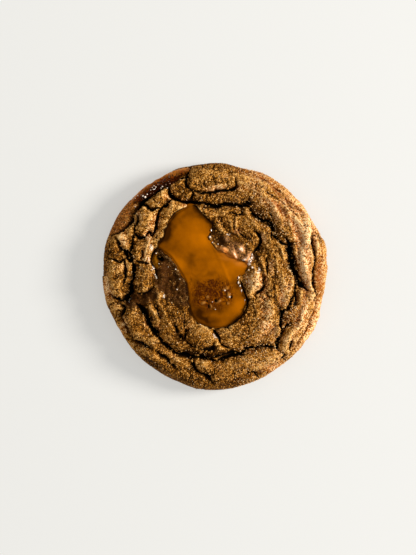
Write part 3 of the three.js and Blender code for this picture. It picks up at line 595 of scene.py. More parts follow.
# %% Where each point of the dough goes
along = share * WHOLE_RUN
bare = skin(angle, along)
x, y = bare[:, 0], bare[:, 1]
ragged_x, ragged_y = shaken(x, y, (0.5, 3.2, 31, 33), (0.15, 1.2, 32, 34))
fall, in_crack = cracks_at(ragged_x, ragged_y)
bitten_x = 0.4 * x + 0.6 * ragged_x + 0.22 * noise(x / 0.9, y / 0.9, 43)
bitten_y = 0.4 * y + 0.6 * ragged_y + 0.22 * noise(x / 0.9, y / 0.9, 44)
from_pool = outline_distance(bitten_x, bitten_y, pool_edge)
hollow = soaked_in(ragged_x, ragged_y, WET_HOLLOW, 1.6) * (1 - 0.15 * patch(x, y, -16, -0.6, 5, 6, 60))
gully = soaked_in(ragged_x, ragged_y, WET_GULLY, 1.4)
knobs = tallest(ragged_x, ragged_y, KNOBS) / 2
wet_knobs = soaked_in(ragged_x, ragged_y, WET_KNOBS, 2.4)
stained = soaked_in(ragged_x, ragged_y, STAINED_RIM, 2.0)
sliver = soaked_in(ragged_x, ragged_y, SLIVER, 0.8)
glazed = np.maximum.reduce([hollow, gully, 0.35 * wet_knobs])
wavy_x, wavy_y = shaken(x, y, (0.9, 1.7, 35, 36), (0.4, 0.8, 37, 38))
lumps = summed(x, y, LUMPS)
ridges = 1 + 0.5 * noise((0.87 * x + 0.5 * y) / 0.6, (0.5 * x - 0.87 * y) / 3, 39)
lumps += ridges * tallest(wavy_x, wavy_y, KNOBS)
lumps += 0.5 * np.clip(2 * knobs, 0, 1) * layered(x / 1.1, y / 1.1, 40, 2)
print(f"cracks reach {fall.max():.1f} mm deep and take {100 * (in_crack > 0.5).mean():.0f}% of the dough")

# %% [markdown]
# The crust is grainy: coarse sugar and flour make grains of about half a millimetre to a millimetre, with
# pits between them. Grains are rounded cells, and some cells are pits instead. Thin lines wind over the
# crust like worm tracks, and it crazes into small plates. The grain fades on the glazed patches, where
# toffee has filled it and left knobbly lumps instead. Heights are in mm.

# %% Grain and pits
COARSE, FINE = 1.35, 0.75
coarse, coarse_own, _ = cells(x / COARSE + 0.3 * noise(x, y, 50), y / COARSE, 51)
fine, fine_own, _ = cells(x / FINE, y / FINE, 61)
radius = np.hypot(x, y)
rightwards = smooth((x - 4) / 14) * smooth((radius - 24) / 6)
streaks = ring_noise(ragged_x, ragged_y, 12, 2.2, 0.42, 3) + ring_noise(ragged_x, ragged_y, 7, 1.2, 0.2, 4)
grain = 0.05 * (0.5 - coarse) + 0.12 * (0.45 - fine) * (1 + 0.7 * fine_own)
pits = smooth((coarse_own - 0.62) * 3) * smooth(1.5 - 2.4 * coarse)
crumbly = 0.1 * layered(x / 2.4, y / 2.4, 81, 3) + 0.3 * noise(x / 6, y / 6, 82)
crumbly += 0.22 * noise(x / 3.6, y / 3.6, 83)
worm = np.abs(noise(ragged_x / 1.9, ragged_y / 1.9, 91) + 0.3 * noise(x / 0.8, y / 0.8, 92))
worm_lines = smooth(1 - worm / 0.15) * smooth(0.1 + 1.5 * noise(x / 5, y / 5, 93))
plate_x, plate_y = ragged_x / 4.6 + 0.2 * noise(x, y, 97), ragged_y / 4.6 + 0.2 * noise(x, y, 98)
craze_gap = cells(plate_x, plate_y, 99)[2]
craze = smooth(1 - craze_gap / 0.16) * smooth(0.4 + 1.6 * noise(x / 4, y / 4, 100)) * (1 - rightwards)
knobbly = 0.8 * (0.6 - cells(ragged_x / 2.2, ragged_y / 2.2, 95)[0])
knobbly += 0.6 * layered(x / 1.4, y / 1.4, 96, 2)
rough = grain + crumbly - 0.2 * pits - 0.25 * worm_lines - 0.6 * craze
rough = rough * (1 - 0.7 * glazed) + knobbly * glazed

# %% All of the relief together
PUFF_HEIGHT, PUFF_RADIUS, PUFF_WIDTH = 0.9, 40.6, 2.6
leak_middle, leak_half = (LEAK_FROM + LEAK_TO) / 2, (LEAK_TO - LEAK_FROM) / 2


def across_leak(run):
    """From -1 at the inner edge of the rim's toffee to 1 at its outer edge."""
    return (2 * run - LEAK_INNER - LEAK_OUTER) / (LEAK_OUTER - LEAK_INNER)


under_leak = smooth(2.4 - 2 * np.hypot((np.degrees(angle) - leak_middle) / leak_half, across_leak(along)))
puff = PUFF_HEIGHT * np.exp(-(((radius - PUFF_RADIUS) / PUFF_WIDTH) ** 2))
puff = puff * (along < TOP_RUN) * (1 - under_leak)
dip = 3.4 * smooth(0.2 - from_pool) + 0.35 * np.clip(1 - from_pool / 1.6, 0, 1) ** 2
calm_edge = 1 - 0.75 * smooth((along - TOP_RUN + 4.5) / 3)
relief = lumps + swell_at(x, y) * (1 - 0.8 * glazed) + folds_at(ragged_x, ragged_y) - fall * calm_edge
streaky = streaks * (0.15 + 0.85 * rightwards) * (1 - glazed)
relief += (streaky + rough) * calm_edge + puff - dip - 0.5 * sliver
relief = relief * (1 - under_leak) - 0.5 * under_leak
ceiling = TOP_LIMIT - bare[:, 2]
relief = np.where(relief > ceiling - 1, ceiling - 1 + np.tanh(relief - ceiling + 1), relief)
# the relief fades out towards the foot, so that the cookie rests flat
resting = np.clip((WHOLE_RUN - along) / 3, 0, 1)
points = skin(angle, along, relief * resting)
print(f"relief from {relief.min():.1f} to {relief.max():.1f} mm")


# %% [markdown]
# The foot of the cookie is closed with a flat base. Its edge loop is extruded inwards in a few rings and
# merged at the middle.

# %% Write the mesh and close the base
def close_below(bm):
    """Closes the open edge of a disc with rings that shrink to the middle."""
    edges = [e for e in bm.edges if e.is_boundary]
    for shrink in (0.97, 0.8, 0.4):
        made = bmesh.ops.extrude_edge_only(bm, edges=edges)["geom"]
        verts = [g for g in made if isinstance(g, bmesh.types.BMVert)]
        edges = [g for g in made if isinstance(g, bmesh.types.BMEdge) and g.is_boundary]
        bmesh.ops.scale(bm, vec=(shrink, shrink, 1), verts=verts)
    made = bmesh.ops.extrude_edge_only(bm, edges=edges)["geom"]
    verts = [g for g in made if isinstance(g, bmesh.types.BMVert)]
    bmesh.ops.pointmerge(bm, verts=verts, merge_co=(0, 0, 0))
    bmesh.ops.recalc_face_normals(bm, faces=bm.faces[:])


def move_points(bm, places):
    """Moves the points of a bmesh to places given in mm."""
    for vert, place in zip(bm.verts, places * MM):
        vert.co = place


def in_scene(name, data):
    """A new object of the scene, at the origin."""
    made = bpy.data.objects.new(name, data)
    bpy.context.scene.collection.objects.link(made)
    return made


def mesh_from(bm, name):
    """A smooth-shaded piece made of a bmesh."""
    mesh = bpy.data.meshes.new(name)
    bm.to_mesh(mesh)
    bm.free()
    mesh.shade_smooth()
    return in_scene(name, mesh)


move_points(disc, points)
close_below(disc)
dough = mesh_from(disc, "cookie_dough")
print("dough:", len(dough.data.vertices), "points,", len(dough.data.polygons), "faces")

# %% [markdown]
# ## What the dough's material needs to know
# The crust's colour follows its shape as painted light and shade: raised grains and swellings are painted
# lighter, and pits, hollows and cracks darker. We work out how far each point stands above or below its
# surroundings, by smoothing the heights over the disc's neighbours and taking the difference. These numbers
# ride on the mesh as attributes.

# %% Height above the surroundings
def neighbour_mean(mesh, values, times):
    """Values after a number of rounds of averaging along the mesh's edges."""
    ends = np.empty(len(mesh.edges) * 2, np.int64)
    mesh.edges.foreach_get("vertices", ends)
    a, b = ends.reshape(-1, 2).T
    count = np.bincount(np.concatenate([a, b]), minlength=len(values))
    for _ in range(times):
        total = np.bincount(a, values[b], len(values)) + np.bincount(b, values[a], len(values))
        values = (values + total) / (1 + count)
    return values


DEEPEST_READ = -3
whole_relief = np.zeros(len(dough.data.vertices))
whole_relief[: len(relief)] = np.maximum(relief, DEEPEST_READ)
close_mean = neighbour_mean(dough.data, whole_relief, 4)
wide_mean = neighbour_mean(dough.data, close_mean, 30)
broad_mean = neighbour_mean(dough.data, wide_mean, 170)
print(f"grains stand up to {(whole_relief - close_mean).max():.2f} mm above what is round them")

# %% [markdown]
# An oven toasts a cookie unevenly: crust that stands out dries pale and peach coloured. These patches carry
# that toast colour and also painted light and shade: crust that lies low, beside the toffee or on the side
# away from the light is painted darker, and crust that faces the light is painted lighter. Shape alone
# doesn't give all of that, so the same kind of patch says where the crust is lighter, or darker where its
# amount is below 0. The patches were placed from maps of where a render was lighter or darker than the
# photograph. Square roots make them flatter in the middle than lumps, and their edges are ragged.

# %% Where the crust is lighter or darker
TOAST_AND_PAINTED_LIGHT = [
    (0, 31, 20, 5, 0, -0.7), (-14, 36.6, 7, 5.4, 0, -1.0), (10, 28.4, 10, 4, -5, -0.8),
    (6, 17, 11, 7, -30, -0.5), (20, 21, 10, 5, -45, -1.1), (25, 15, 6, 5, -40, -0.8),
    (18, 10, 5, 9, 10, -0.5), (-10, -15, 8, 6, -40, -0.8), (-16, -18, 12, 8, -50, -0.4),
    (-7, -30, 14, 4.5, -12, -1.3), (-24, -32, 12, 6, -40, -0.8), (-5, -40, 10, 4, 0, -0.9),
    (12, -40, 12, 4, 12, -0.4), (-31, -10, 8, 4, 10, -1.2), (-35, -3, 3, 10, 10, -0.6),
    (-39, 9, 5, 5, 0, -1.0), (30, 4, 4, 14, 15, -0.6), (31, -9, 4, 7, -10, -0.6),
    (27, -21, 3.4, 7, 0, -0.6), (12, -17, 5, 7, -20, -0.6), (20, -19, 6, 8, 0, 0.8),
    (16, -1, 6, 6, 80, 0.7), (27, -4, 4, 6, 0, 0.6), (-27, 10, 5, 6, 0, 0.7), (-26, 22, 5, 5, 0, 0.4),
    (8, 21, 5, 6, 0, 0.4), (19, 31.5, 10, 5, -45, 0.9), (29, 24, 14, 6, -52, 0.8),
    (36, 13, 17, 5.4, 86, 1.3), (35, 26, 14, 6, -58, 0.7), (18, 38, 12, 5, -25, 0.4),
    (38, -11, 13, 6, 75, 0.9), (31, -24, 12, 6, 50, 0.7), (22, -36, 8, 5, 25, 0.9),
    (42, 3, 12, 3, 90, 0.4), (-41, -3, 12, 4, 90, 0.3), (-37, -22, 8, 3, -55, 0.8),
    (-36.6, 14, 7, 3, 80, 1.0), (-36, 2, 6, 3, 85, 0.8), (-25, 19, 8, 2.6, 80, 0.6),
    (-12, 28.6, 4, 2.8, -20, 0.9), (-19, 31.4, 4, 3, 20, 0.5), (2, 34.8, 9, 2.6, 0, 1.1),
    (-2.6, 24, 9, 2.6, -55, -1.4), (-6, 29.6, 5, 2.4, -20, -1.0), (14, 27, 6, 4, -30, -0.5),
    (-20.6, 4.6, 5, 2, 80, -1.4), (-17.6, 21, 7, 1.8, 60, -0.8), (-14, -24.6, 3.6, 3, 0, -1.4),
    (-9, -30.6, 8, 2.2, -6, -1.4), (3, -30, 7, 2, 8, -0.9), (16, -28.6, 9, 2.4, 5, -0.8),
    (11, -15.4, 8, 2.4, 63, -0.8), (10.4, -2, 2, 5, 10, -1.0), (18.4, -5, 5, 10, 10, 0.7),
    (27.6, 9, 3, 5, 15, 0.9), (31, -3, 3, 5, 0, 0.6), (36, 1, 3, 7, 0, 0.6), (-18, -27, 2, 6, -30, 0.5),
    (-10, -13, 4, 3, -60, -0.6), (-18, -16.6, 4, 2.4, -50, -0.5), (-9, -26.4, 4, 3, -30, -1.0),
    (-1, -29.8, 6, 2, -4, -0.8), (-32.8, -19, 2.4, 5, 15, -1.0), (21, 33.6, 6, 3, -40, -0.9),
    (34.6, 22, 4, 3, -50, -0.5), (41.6, -6, 2, 4, 0, -0.8), (28, -32, 5, 3, 35, -0.6),
    (10, -41.6, 10, 2.4, 6, -0.8), (2.2, 13.2, 3.6, 4, 0, -1.6), (-0.4, 17.6, 1.6, 4, 0, -1.2),
    (4, 14, 3, 2, -30, -0.8), (-21.2, 15, 4.4, 1.8, 75, -0.8), (-19.8, 2.6, 2, 3, 40, -0.9),
    (-20.6, -5, 2.4, 2.4, 0, -0.9), (-12.8, -4, 3, 3, 0, -1.2), (10.4, -29.4, 3, 1.4, 10, -0.6),
    (10.4, -17, 2.2, 4, -40, -0.9), (34, 13.6, 3, 6, 15, 0.9), (36.6, -2.4, 2, 3.4, 0, 0.9),
    (32.2, 6.6, 1.6, 3, 15, 0.8), (-42.4, -4, 8, 2.4, 90, 0.8), (5.6, -29.6, 2.4, 1.2, 20, 0.7),
    (-27.4, 16.8, 2.4, 2, 0, 0.6), (-37.4, -17, 4, 2, -70, 0.6), (35.6, 9, 2.4, 9, 0, 1.0),
    (35.4, -13, 2, 5, -10, 0.9), (36.8, -4.6, 2, 3, 0, 0.8), (30.2, -12, 2, 3, 0, -0.9),
    (31.4, 11, 1.6, 3.4, 0, -1.0), (40.8, 14.8, 3.4, 1.6, -75, -1.0), (-29.6, -28, 3, 2.4, -40, 0.7),
    (-28, -18.6, 2.4, 3, 20, 0.7), (-22.6, -21, 2.4, 2.4, 0, 0.6), (-31, 26, 2, 5, 10, 1.1),
    (-27, 16.2, 3, 2, 0, 0.7), (-22.8, 22.6, 1.8, 4, 10, 0.8), (-9.4, 27.4, 5, 2.4, -40, 1.0),
    (9, 18, 3, 2.4, 0, 0.7), (22.8, 4.4, 2, 4.4, 0, 0.7), (21.2, -14, 3.4, 3, 0, 0.7),
    (26.8, -8.6, 1.6, 5, 0, 0.8), (1.2, -36, 3, 2.6, 0, 0.8), (12.8, -1, 1.8, 5, 10, 0.9),
    (-43, -5, 5, 2, 90, 0.8), (-36.4, -18, 2, 5, 10, 0.7), (-9.6, -14.8, 2.4, 3.4, 0, -1.4),
    (4.6, 13.2, 3.6, 2, 50, -1.3), (-0.8, 16.4, 1.4, 4, 10, -0.9), (-21, 14, 1.8, 4.6, 0, -1.1),
    (-31.3, 11, 2.2, 4.4, 0, -1.1), (-31.4, 5.6, 2.4, 2.4, 0, -0.6), (-18, 36.6, 2.4, 2.4, 0, -1.3),
    (-5.8, 30, 2.4, 3, 0, -1.4), (-6, 39.8, 3, 2.4, 0, -1.3), (-10.8, 34, 2, 2.4, 0, -0.6),
    (15.4, 26.4, 3, 2, -40, -1.1), (11.2, 23.4, 2, 2.4, 0, -0.7), (-16.4, 25, 3, 1.6, 50, -0.7),
    (-39.8, 9.8, 2.4, 3, 0, -0.8), (-7, -26, 4, 2.4, -45, -0.7), (-9, -31.4, 2.6, 1.8, 0, -1.0),
    (-24.8, -33, 3.6, 2, -20, -1.2), (-3.8, -36.8, 2.4, 2.4, 0, -1.2), (-16, -23.4, 3, 2, -40, -0.8),
    (-17, -16, 3, 2.4, 0, -0.7), (17.4, -28.6, 3, 1.4, 0, -1.0), (16.6, 8.7, 4, 1.8, 0, -1.0),
    (25.6, 17.8, 3, 2, -30, -0.9), (-10.6, -19, 4.4, 3.6, 0, 1.3), (-28.6, -3, 4, 3, 40, -0.9),
    (-40.6, -2, 2.4, 4, 0, -0.5), (-39.5, 9, 3.4, 2.4, 0, -0.6), (-37.4, 4.6, 3, 3, 0, 0.6),
    (-31.6, 6.4, 2.4, 3, 0, -0.4), (-23, 7.6, 3.6, 2.4, 0, -0.5), (-23, -19.4, 2, 3, 20, 0.6),
    (-28, -20, 3, 5, 20, 0.5), (-31.6, -18, 6, 8, 20, -0.5), (-16, -25, 3, 2.4, 0, -0.7),
    (-20.8, -31.8, 2.6, 2, -30, 0.9), (-9, -29, 4, 2, -10, -0.9), (1, -30.4, 3.4, 1.8, 0, -0.9),
    (6.6, -32.4, 3, 1.6, 20, 0.7), (-18, 31.6, 3, 2.4, 0, 0.6), (-9.4, 31, 2, 4, 0, 0.7),
    (-1, 34, 6, 2.2, 0, 0.8), (19.4, 16.4, 2.4, 2.6, 0, 0.7), (15, 14.2, 2.6, 1.6, 20, 0.6),
    (20, -9, 3, 5, 0, 0.6), (29.2, -16, 2.4, 6, 12, -0.8), (20, -27, 5.4, 1.6, 8, -0.8),
    (18.4, -38, 3.4, 2.4, 0, -0.9), (27.4, -24.6, 2.4, 2, 0, 0.6), (-35, -25, 3, 4, -50, -0.7),
    (23.4, 22.4, 2.6, 2.6, 0, 1.2), (30, -4, 2, 3.4, 0, 0.8), (29.2, 4.4, 1.6, 3.4, 0, 1.0),
    (-24, -15, 3, 2, -60, 0.5), (-11.6, 34.6, 3, 4, 0, -0.7), (-26.6, 16.4, 2.4, 2.6, 0, 0.7),
    (-27, 5.6, 3, 3, 0, 0.7), (-24.4, 1, 2, 4, 15, 0.7), (-32, -28, 5, 2.6, -40, 0.6),
    (-17, -32, 5, 2, -38, 0.8), (19.4, 14.6, 3.4, 3.6, 0, 1.1), (8.6, 18, 3, 2.6, 0, 0.6),
    (22.2, 4.6, 2, 5, 0, 0.6), (27, -9.6, 2.4, 5, 0, 0.8), (32.6, -18, 4, 3, 50, 0.6),
    (21.4, -20.6, 4, 3, 0, 1.0), (38, -20, 8, 2.4, 60, 0.5), (36, 13.4, 2.6, 5, 0, 0.7),
    (10.6, 34.4, 4, 2.6, -30, 0.8), (-22.8, 30, 2.6, 2, 0, -0.8), (-27.4, 23, 2, 2.6, 0, -0.7),
    (17.6, 2.8, 1.6, 2.4, 0, -0.8), (23.4, -4.8, 1.6, 3, 0, -0.8), (37.6, -12, 1.6, 3, 0, -0.7),
    (-19, -36, 3.4, 1.8, -30, -0.8), (-11, -40.4, 3.4, 1.8, -15, -0.8), (-39.6, -17, 1.8, 3.4, 20, -0.8),
    (32.4, 18.6, 1.8, 5, 25, 0.8), (27.4, 29.4, 2.6, 2.4, 0, 0.7), (-3.4, -33.4, 5, 1.2, 0, 0.9),
    (4.2, 39.8, 3, 1.8, 0, 0.7), (-24.8, 36.4, 2.4, 1.8, 0, 0.7),
]
print(len(TOAST_AND_PAINTED_LIGHT), "lighter and darker patches")

# %% How toasted the crust is, with painted light and shade
MOST_TOAST_AND_LIGHT = 1.5
toast = sum(amount * np.sqrt(patch(ragged_x, ragged_y, *place)) for *place, amount in TOAST_AND_PAINTED_LIGHT)
# the rim at the right, which faces the light, is painted lighter
toast += 0.5 * rightwards * smooth((radius - 40) / 3)
toast = np.where(toast > 0, MOST_TOAST_AND_LIGHT * np.tanh(toast / MOST_TOAST_AND_LIGHT), toast)
# the cookie's side is painted lighter towards the right, where the light falls
side_toast_and_light, on_side = 0.5 * smooth(x / 30), smooth((along - TOP_RUN) / 4)
print(f"toast from {toast.min():.1f} to {toast.max():.1f}")


# %% Store the numbers on the mesh
def paint(piece, numbers):
    """Stores numbers for each point by name, which a material can read. The base's own points get 0."""
    for name, values in numbers.items():
        every = np.zeros(len(piece.data.vertices), np.float32)
        every[: len(values)] = values
        piece.data.attributes.new(name, "FLOAT", "POINT").data.foreach_set("value", every)


# dough that the toffee has soaked orange
MELTED = [
    (6, 8.2, 9, 2, -32), (12.4, 4.8, 3.4, 1.4, 30),
]
# dough that it has turned peach
BLONDE = [
    (8, 10.2, 5.4, 3.4, -30), (12.4, 7.4, 3.8, 2.6, 10),
]
# painted highlights, where wet edges catch the light
PAINTED_GLEAMS = [
    (10.5, 11, 2.3, 1.7, -35), (14.3, 6.4, 3.4, 0.8, 77), (8, 8.8, 2.6, 0.7, -62), (12, 7, 2, 0.9, 15),
    (4.9, 16.9, 0.9, 0.7, 0), (-24.6, 3.4, 1.1, 0.9, -60), (-23.8, 0.4, 1.8, 0.7, -80),
    (-25.6, 11.2, 2.2, 0.9, 70), (-26.2, 7.2, 1.6, 0.8, 75), (-20.4, -8.2, 1, 0.7, 60),
    (-34.9, -9.6, 1.8, 0.8, 66), (0.2, -23.8, 2.6, 0.5, -66), (13, -2.6, 1.4, 1, 60),
    (17.6, 2.6, 0.6, 1.6, 0),
]
edge_shade_reach = 0.7 + 0.45 * noise(x / 2.4, y / 2.4, 47) + 0.3 * noise(x / 1.1, y / 1.1, 46)
paint(dough, {
    "grain": (whole_relief - close_mean)[: len(relief)] / 0.1,
    "stand": (close_mean - wide_mean)[: len(relief)] / 0.5,
    "high": (wide_mean - broad_mean)[: len(relief)] / 0.6,
    "crack": in_crack,
    "glaze": glazed,
    # a thin ragged line of painted shade where the dough meets the toffee
    "pool_edge": smooth((edge_shade_reach - from_pool) / 0.4),
    "speck": 0.25 * coarse_own + 0.75 * fine_own,
    "pit": np.maximum.reduce([pits, worm_lines, 1.6 * craze]) * (1 - glazed),
    "stain": stained * smooth((TOP_RUN + 1.5 - along + noise(x / 2, y / 2, 45)) / 2.5),
    "knob": knobs,
    "melted": any_patch(ragged_x, ragged_y, MELTED),
    "blonde": any_patch(wavy_x, wavy_y, BLONDE),
    # painted shade in the grooves between the long folds at the right
    "groove": smooth(-streaks / 0.4) * rightwards * smooth((radius - 31) / 5),
    "gleam": any_patch(wavy_x, wavy_y, PAINTED_GLEAMS),
    "sliver": sliver,
    "toast": toast + (side_toast_and_light - toast) * on_side,
})
print("attributes:", [a.name for a in dough.data.attributes if a.data_type == "FLOAT"])

# %% [markdown]
# ## The pool of toffee
# An icosphere is squeezed into a lens that fills the outline: its equator becomes the edge, its upper half
# the surface and its lower half the underside. Melted toffee keeps a smooth skin with slow waves. Where it
# boiled there is a froth of small bubbles, and a fold runs where a second flow joined from the right.

# %% What is on the pool
FROTH = (-0.8, -7, 12.5, 9, 8)
CREASE = [(-1.4, 14.4), (0.4, 10), (2, 6.4), (3.8, 2.4), (4.8, -0.6)]
SECOND_CREASE = [(-9.6, -0.4), (-6, -0.9), (-1, -0.4), (4.6, -0.6), (8.6, -0.4)]
# open bubbles and knubs of set froth: place and radius
HOLES = [(0.25, -9.6, 0.6), (-2.6, -11.6, 0.35), (-2.5, -12.2, 0.35), (6.5, -8.2, 0.4), (-3.2, -9.9, 0.3)]
KNUBS = [
    (5.2, -7.4, 0.6), (4, -5.6, 0.6), (5.4, -5.4, 0.4), (1.4, -10.3, 0.6), (-1.2, -10.2, 0.3),
    (-4.3, -11, 0.6), (-2.8, -7.8, 0.5), (-1.6, -11.8, 0.4), (0.1, -13.1, 0.3), (5, -10.6, 0.4),
]
THIN_TOFFEE = [(9.6, 6.6, 7, 3, -14), (3.4, 9.4, 5, 2.6, -40), (13, 5, 3, 2.4, 0)]
# lighter and darker toffee, as amber that is deeper or paler and as painted light and shade: the last
# number is how much lighter, below 0 darker
POOL_DEPTH_AND_PAINTED_LIGHT = [
    (-6, 15, 11, 6, -52, 0.8), (-4.4, 15, 4, 3, -60, 0.5), (8, 3.8, 8, 5, 10, 0.8),
    (3.4, 4, 8, 2.2, -62, 0.3), (9.8, -12, 3.2, 6, 10, 0.7), (3, -17, 6, 3, 0, -0.3),
    (-8, -9, 3, 4, 0, -0.8), (-3.4, -5, 5, 3, 10, -0.9), (-6, -7.4, 2, 1.4, 20, -1.0),
    (-1.6, -7.4, 2.4, 1.6, 0, -0.9), (-2.6, 0.8, 6, 1, 4, -0.4), (0.6, 4.4, 4, 6, 20, 0.5),
    (-14.6, 5.4, 6, 2.4, -48, 0.7), (6.4, -0.6, 2.4, 2, 0, 0.6), (-18.6, 13.4, 5, 8, 60, -0.5),
    (9.6, -3, 1.8, 4, 10, -0.8), (-10, 25, 8, 4, 20, -0.6), (-18.4, 18.4, 10, 3.6, 62, -1.5),
    (8, -2, 2.4, 4, 10, -0.5), (-9.6, 6.6, 5, 3, 90, -0.5), (-3.6, 6.6, 5, 4, 60, -0.3),
    (-7.4, -3, 4, 4, 0, -0.4), (-6.6, -14.6, 7, 4.4, -50, -1.4), (-2, -18, 6, 3, -10, -1.0),
    (0.4, -13, 7, 3, 0, -0.9), (8.4, -17.6, 5, 2.6, 40, -0.6),
]


def lens(subdivisions):
    """A ball of even triangles as a bmesh, and its points as an array."""
    bm = bmesh.new()
    bmesh.ops.create_icosphere(bm, subdivisions=subdivisions, radius=1)
    return bm, np.array([v.co[:] for v in bm.verts])


# %% Where the pool's points go
EDGE_OVERLAP = 0.8
pool_bm, ball = lens(7)
edge_x, edge_y = (pool_edge - POOL_HEART).T
edge_angle = np.arctan2(edge_y, edge_x)
edge_radius = np.hypot(edge_x, edge_y) + EDGE_OVERLAP
order = np.argsort(edge_angle)
turned = np.arctan2(ball[:, 1], ball[:, 0])
out = np.hypot(ball[:, 0], ball[:, 1])
reach = np.interp(turned, edge_angle[order], edge_radius[order], period=math.tau) * out
px, py = POOL_HEART[0] + reach * np.cos(turned), POOL_HEART[1] + reach * np.sin(turned)
inside_edge = -outline_distance(px, py, pool_edge)
print("pool:", len(ball), "points, up to", round(float(inside_edge.max()), 1), "mm from its edge")

# %% The pool's surface
def dots(x, y, rows):
    """1 on each of several round dots, falling to 0 over a soft edge."""
    all_dots = [smooth(1.6 - np.hypot(x - dot_x, y - dot_y) / size) for dot_x, dot_y, size in rows]
    return np.max(all_dots, axis=0)


slow_x, slow_y = shaken(px, py, (0.9, 2.2, 101, 102))
froth = smooth(1.8 * patch(slow_x, slow_y, *FROTH))
bubble, bubble_own, _ = cells(px / 1.3, py / 1.3, 111)
small_bubble = cells(px / 0.75, py / 0.75, 121)[0]
crease = nearest_on(px, py, CREASE, FAR)[1]
second_crease = nearest_on(slow_x, slow_y, SECOND_CREASE, FAR)[1]
curl = np.abs(layered(slow_x / 2, slow_y / 1.3, 103, 3))
threads = smooth(1 - curl / 0.3) * froth
holes, knubs = dots(px, py, HOLES), dots(slow_x, slow_y, KNUBS)
bubbles = 0.26 * np.sqrt(np.clip(0.2 - bubble**2, 0, 1)) * (bubble_own > 0.1)
bubbles += 0.16 * np.sqrt(np.clip(0.16 - small_bubble**2, 0, 1))
level = POOL_LEVEL - POOL_STEP_DROP * smooth((POOL_STEP_AT - py) / POOL_STEP_OVER)
level += 0.12 * noise(px / 7, py / 7, 131) + 0.04 * noise(px / 2.4, py / 2.4, 132)
level += 0.14 * smooth(1 - crease / 1.1) - 0.12 * smooth(1 - second_crease / 0.8) - 0.1
level += froth * bubbles + 0.16 * threads + 0.5 * knubs - 0.9 * holes
level -= 0.3 * smooth(1 - inside_edge / 0.8)
sill = POOL_LEVEL - 2.2 - (POOL_DEPTH - 2.4) * (1 - out**2)
upper = smooth(ball[:, 2] / 0.05)
pz = np.where(ball[:, 2] >= 0, sill + (level - sill) * upper, sill)
pool_points = np.column_stack([px, py, pz])
move_points(pool_bm, pool_points)
bmesh.ops.recalc_face_normals(pool_bm, faces=pool_bm.faces[:])
pool = mesh_from(pool_bm, "toffee_pool_surface")
paint(pool, {
    # painted light and shade on the toffee, with painted shade along its edge where the dough overhangs it
    "shade": summed(slow_x, slow_y, POOL_DEPTH_AND_PAINTED_LIGHT) + 0.35 * smooth(inside_edge / 1.5) - 0.35,
    "thread": threads,
    "froth": froth,
    "thin": any_patch(slow_x, slow_y, THIN_TOFFEE),
    "knub": knubs,
    "hole": holes,
})
print(f"pool surface from {pz.min():.1f} to {pz.max():.1f} mm high")

# %% [markdown]
# ## The toffee on the rim
# The same lens, laid along the skin instead: its length follows the rim's angle and its width the profile.
# It boiled as it ran out, so it is lumpy and full of small blisters.

# %% Shape the rim toffee
BOILED_FROM, BOILED_TO = 111, 138
leak_bm, leak_ball = lens(6)
ball_x, ball_y, ball_z = leak_ball.T
blister = 1 + 0.45 * noise(ball_x * 7, ball_y * 3, 141)
uneven = 1 + 0.26 * noise(np.arctan2(ball_y, ball_x) * 2.5, ball_z * 0, 142)
leak_angle = np.radians(leak_middle + leak_half * ball_x)
leak_along = (LEAK_INNER + LEAK_OUTER) / 2 + (LEAK_OUTER - LEAK_INNER) / 2 * ball_y * uneven
lump, lump_own, _ = cells(leak_angle * 36, leak_along / 1.2, 151)
thick = np.where(ball_z > 0, LEAK_ABOVE * blister, LEAK_BELOW) * ball_z
outer = across_leak(leak_along)
degrees_round = np.degrees(leak_angle)
boiled = smooth((degrees_round - BOILED_FROM) / 6) * smooth((BOILED_TO - degrees_round) / 5)
boiled = boiled * smooth((0.5 - outer) / 0.6)
bubbly = (0.9 * smooth(1.2 - 2 * lump) * (0.5 + 0.5 * lump_own) - 0.3) * boiled
thick += np.where(ball_z > 0, bubbly, 0) * np.abs(ball_z)
leak_points = skin(leak_angle, leak_along, thick)
move_points(leak_bm, leak_points)
bmesh.ops.recalc_face_normals(leak_bm, faces=leak_bm.faces[:])
leak = mesh_from(leak_bm, "toffee_rim_run")
paint(leak, {"boiled": boiled, "outer": outer})
print("rim toffee:", len(leak.data.polygons), "triangles")


# %% [markdown]
# ## Sugar and crumbs
# Coarse sugar glitters on the crust, most of it at the right, and crumbs lie on it and along the edges of the
# cracks. Thousands of small things are one joined mesh: we make a few faces for one grain and copy its points
# to each place with arrays. Places and turns come from a seeded generator, so every run draws the same ones.

# %% Scatter small solids on the dough
normals = np.empty(len(dough.data.vertices) * 3, np.float32)
dough.data.vertices.foreach_get("normal", normals)
normals = normals.reshape(-1, 3)[: len(points)]


def grain_shape():
    """One grain: a cube squeezed to a lozenge, 12 triangles."""
    bm = bmesh.new()
    bmesh.ops.create_cube(bm, size=1)
    bmesh.ops.triangulate(bm, faces=bm.faces[:])
    verts = np.array([v.co[:] for v in bm.verts])
    faces = np.array([[v.index for v in f.verts] for f in bm.faces])
    bm.free()
    return verts * (1 + 0.2 * np.sign(verts[:, :1] * verts[:, 1:2])), faces


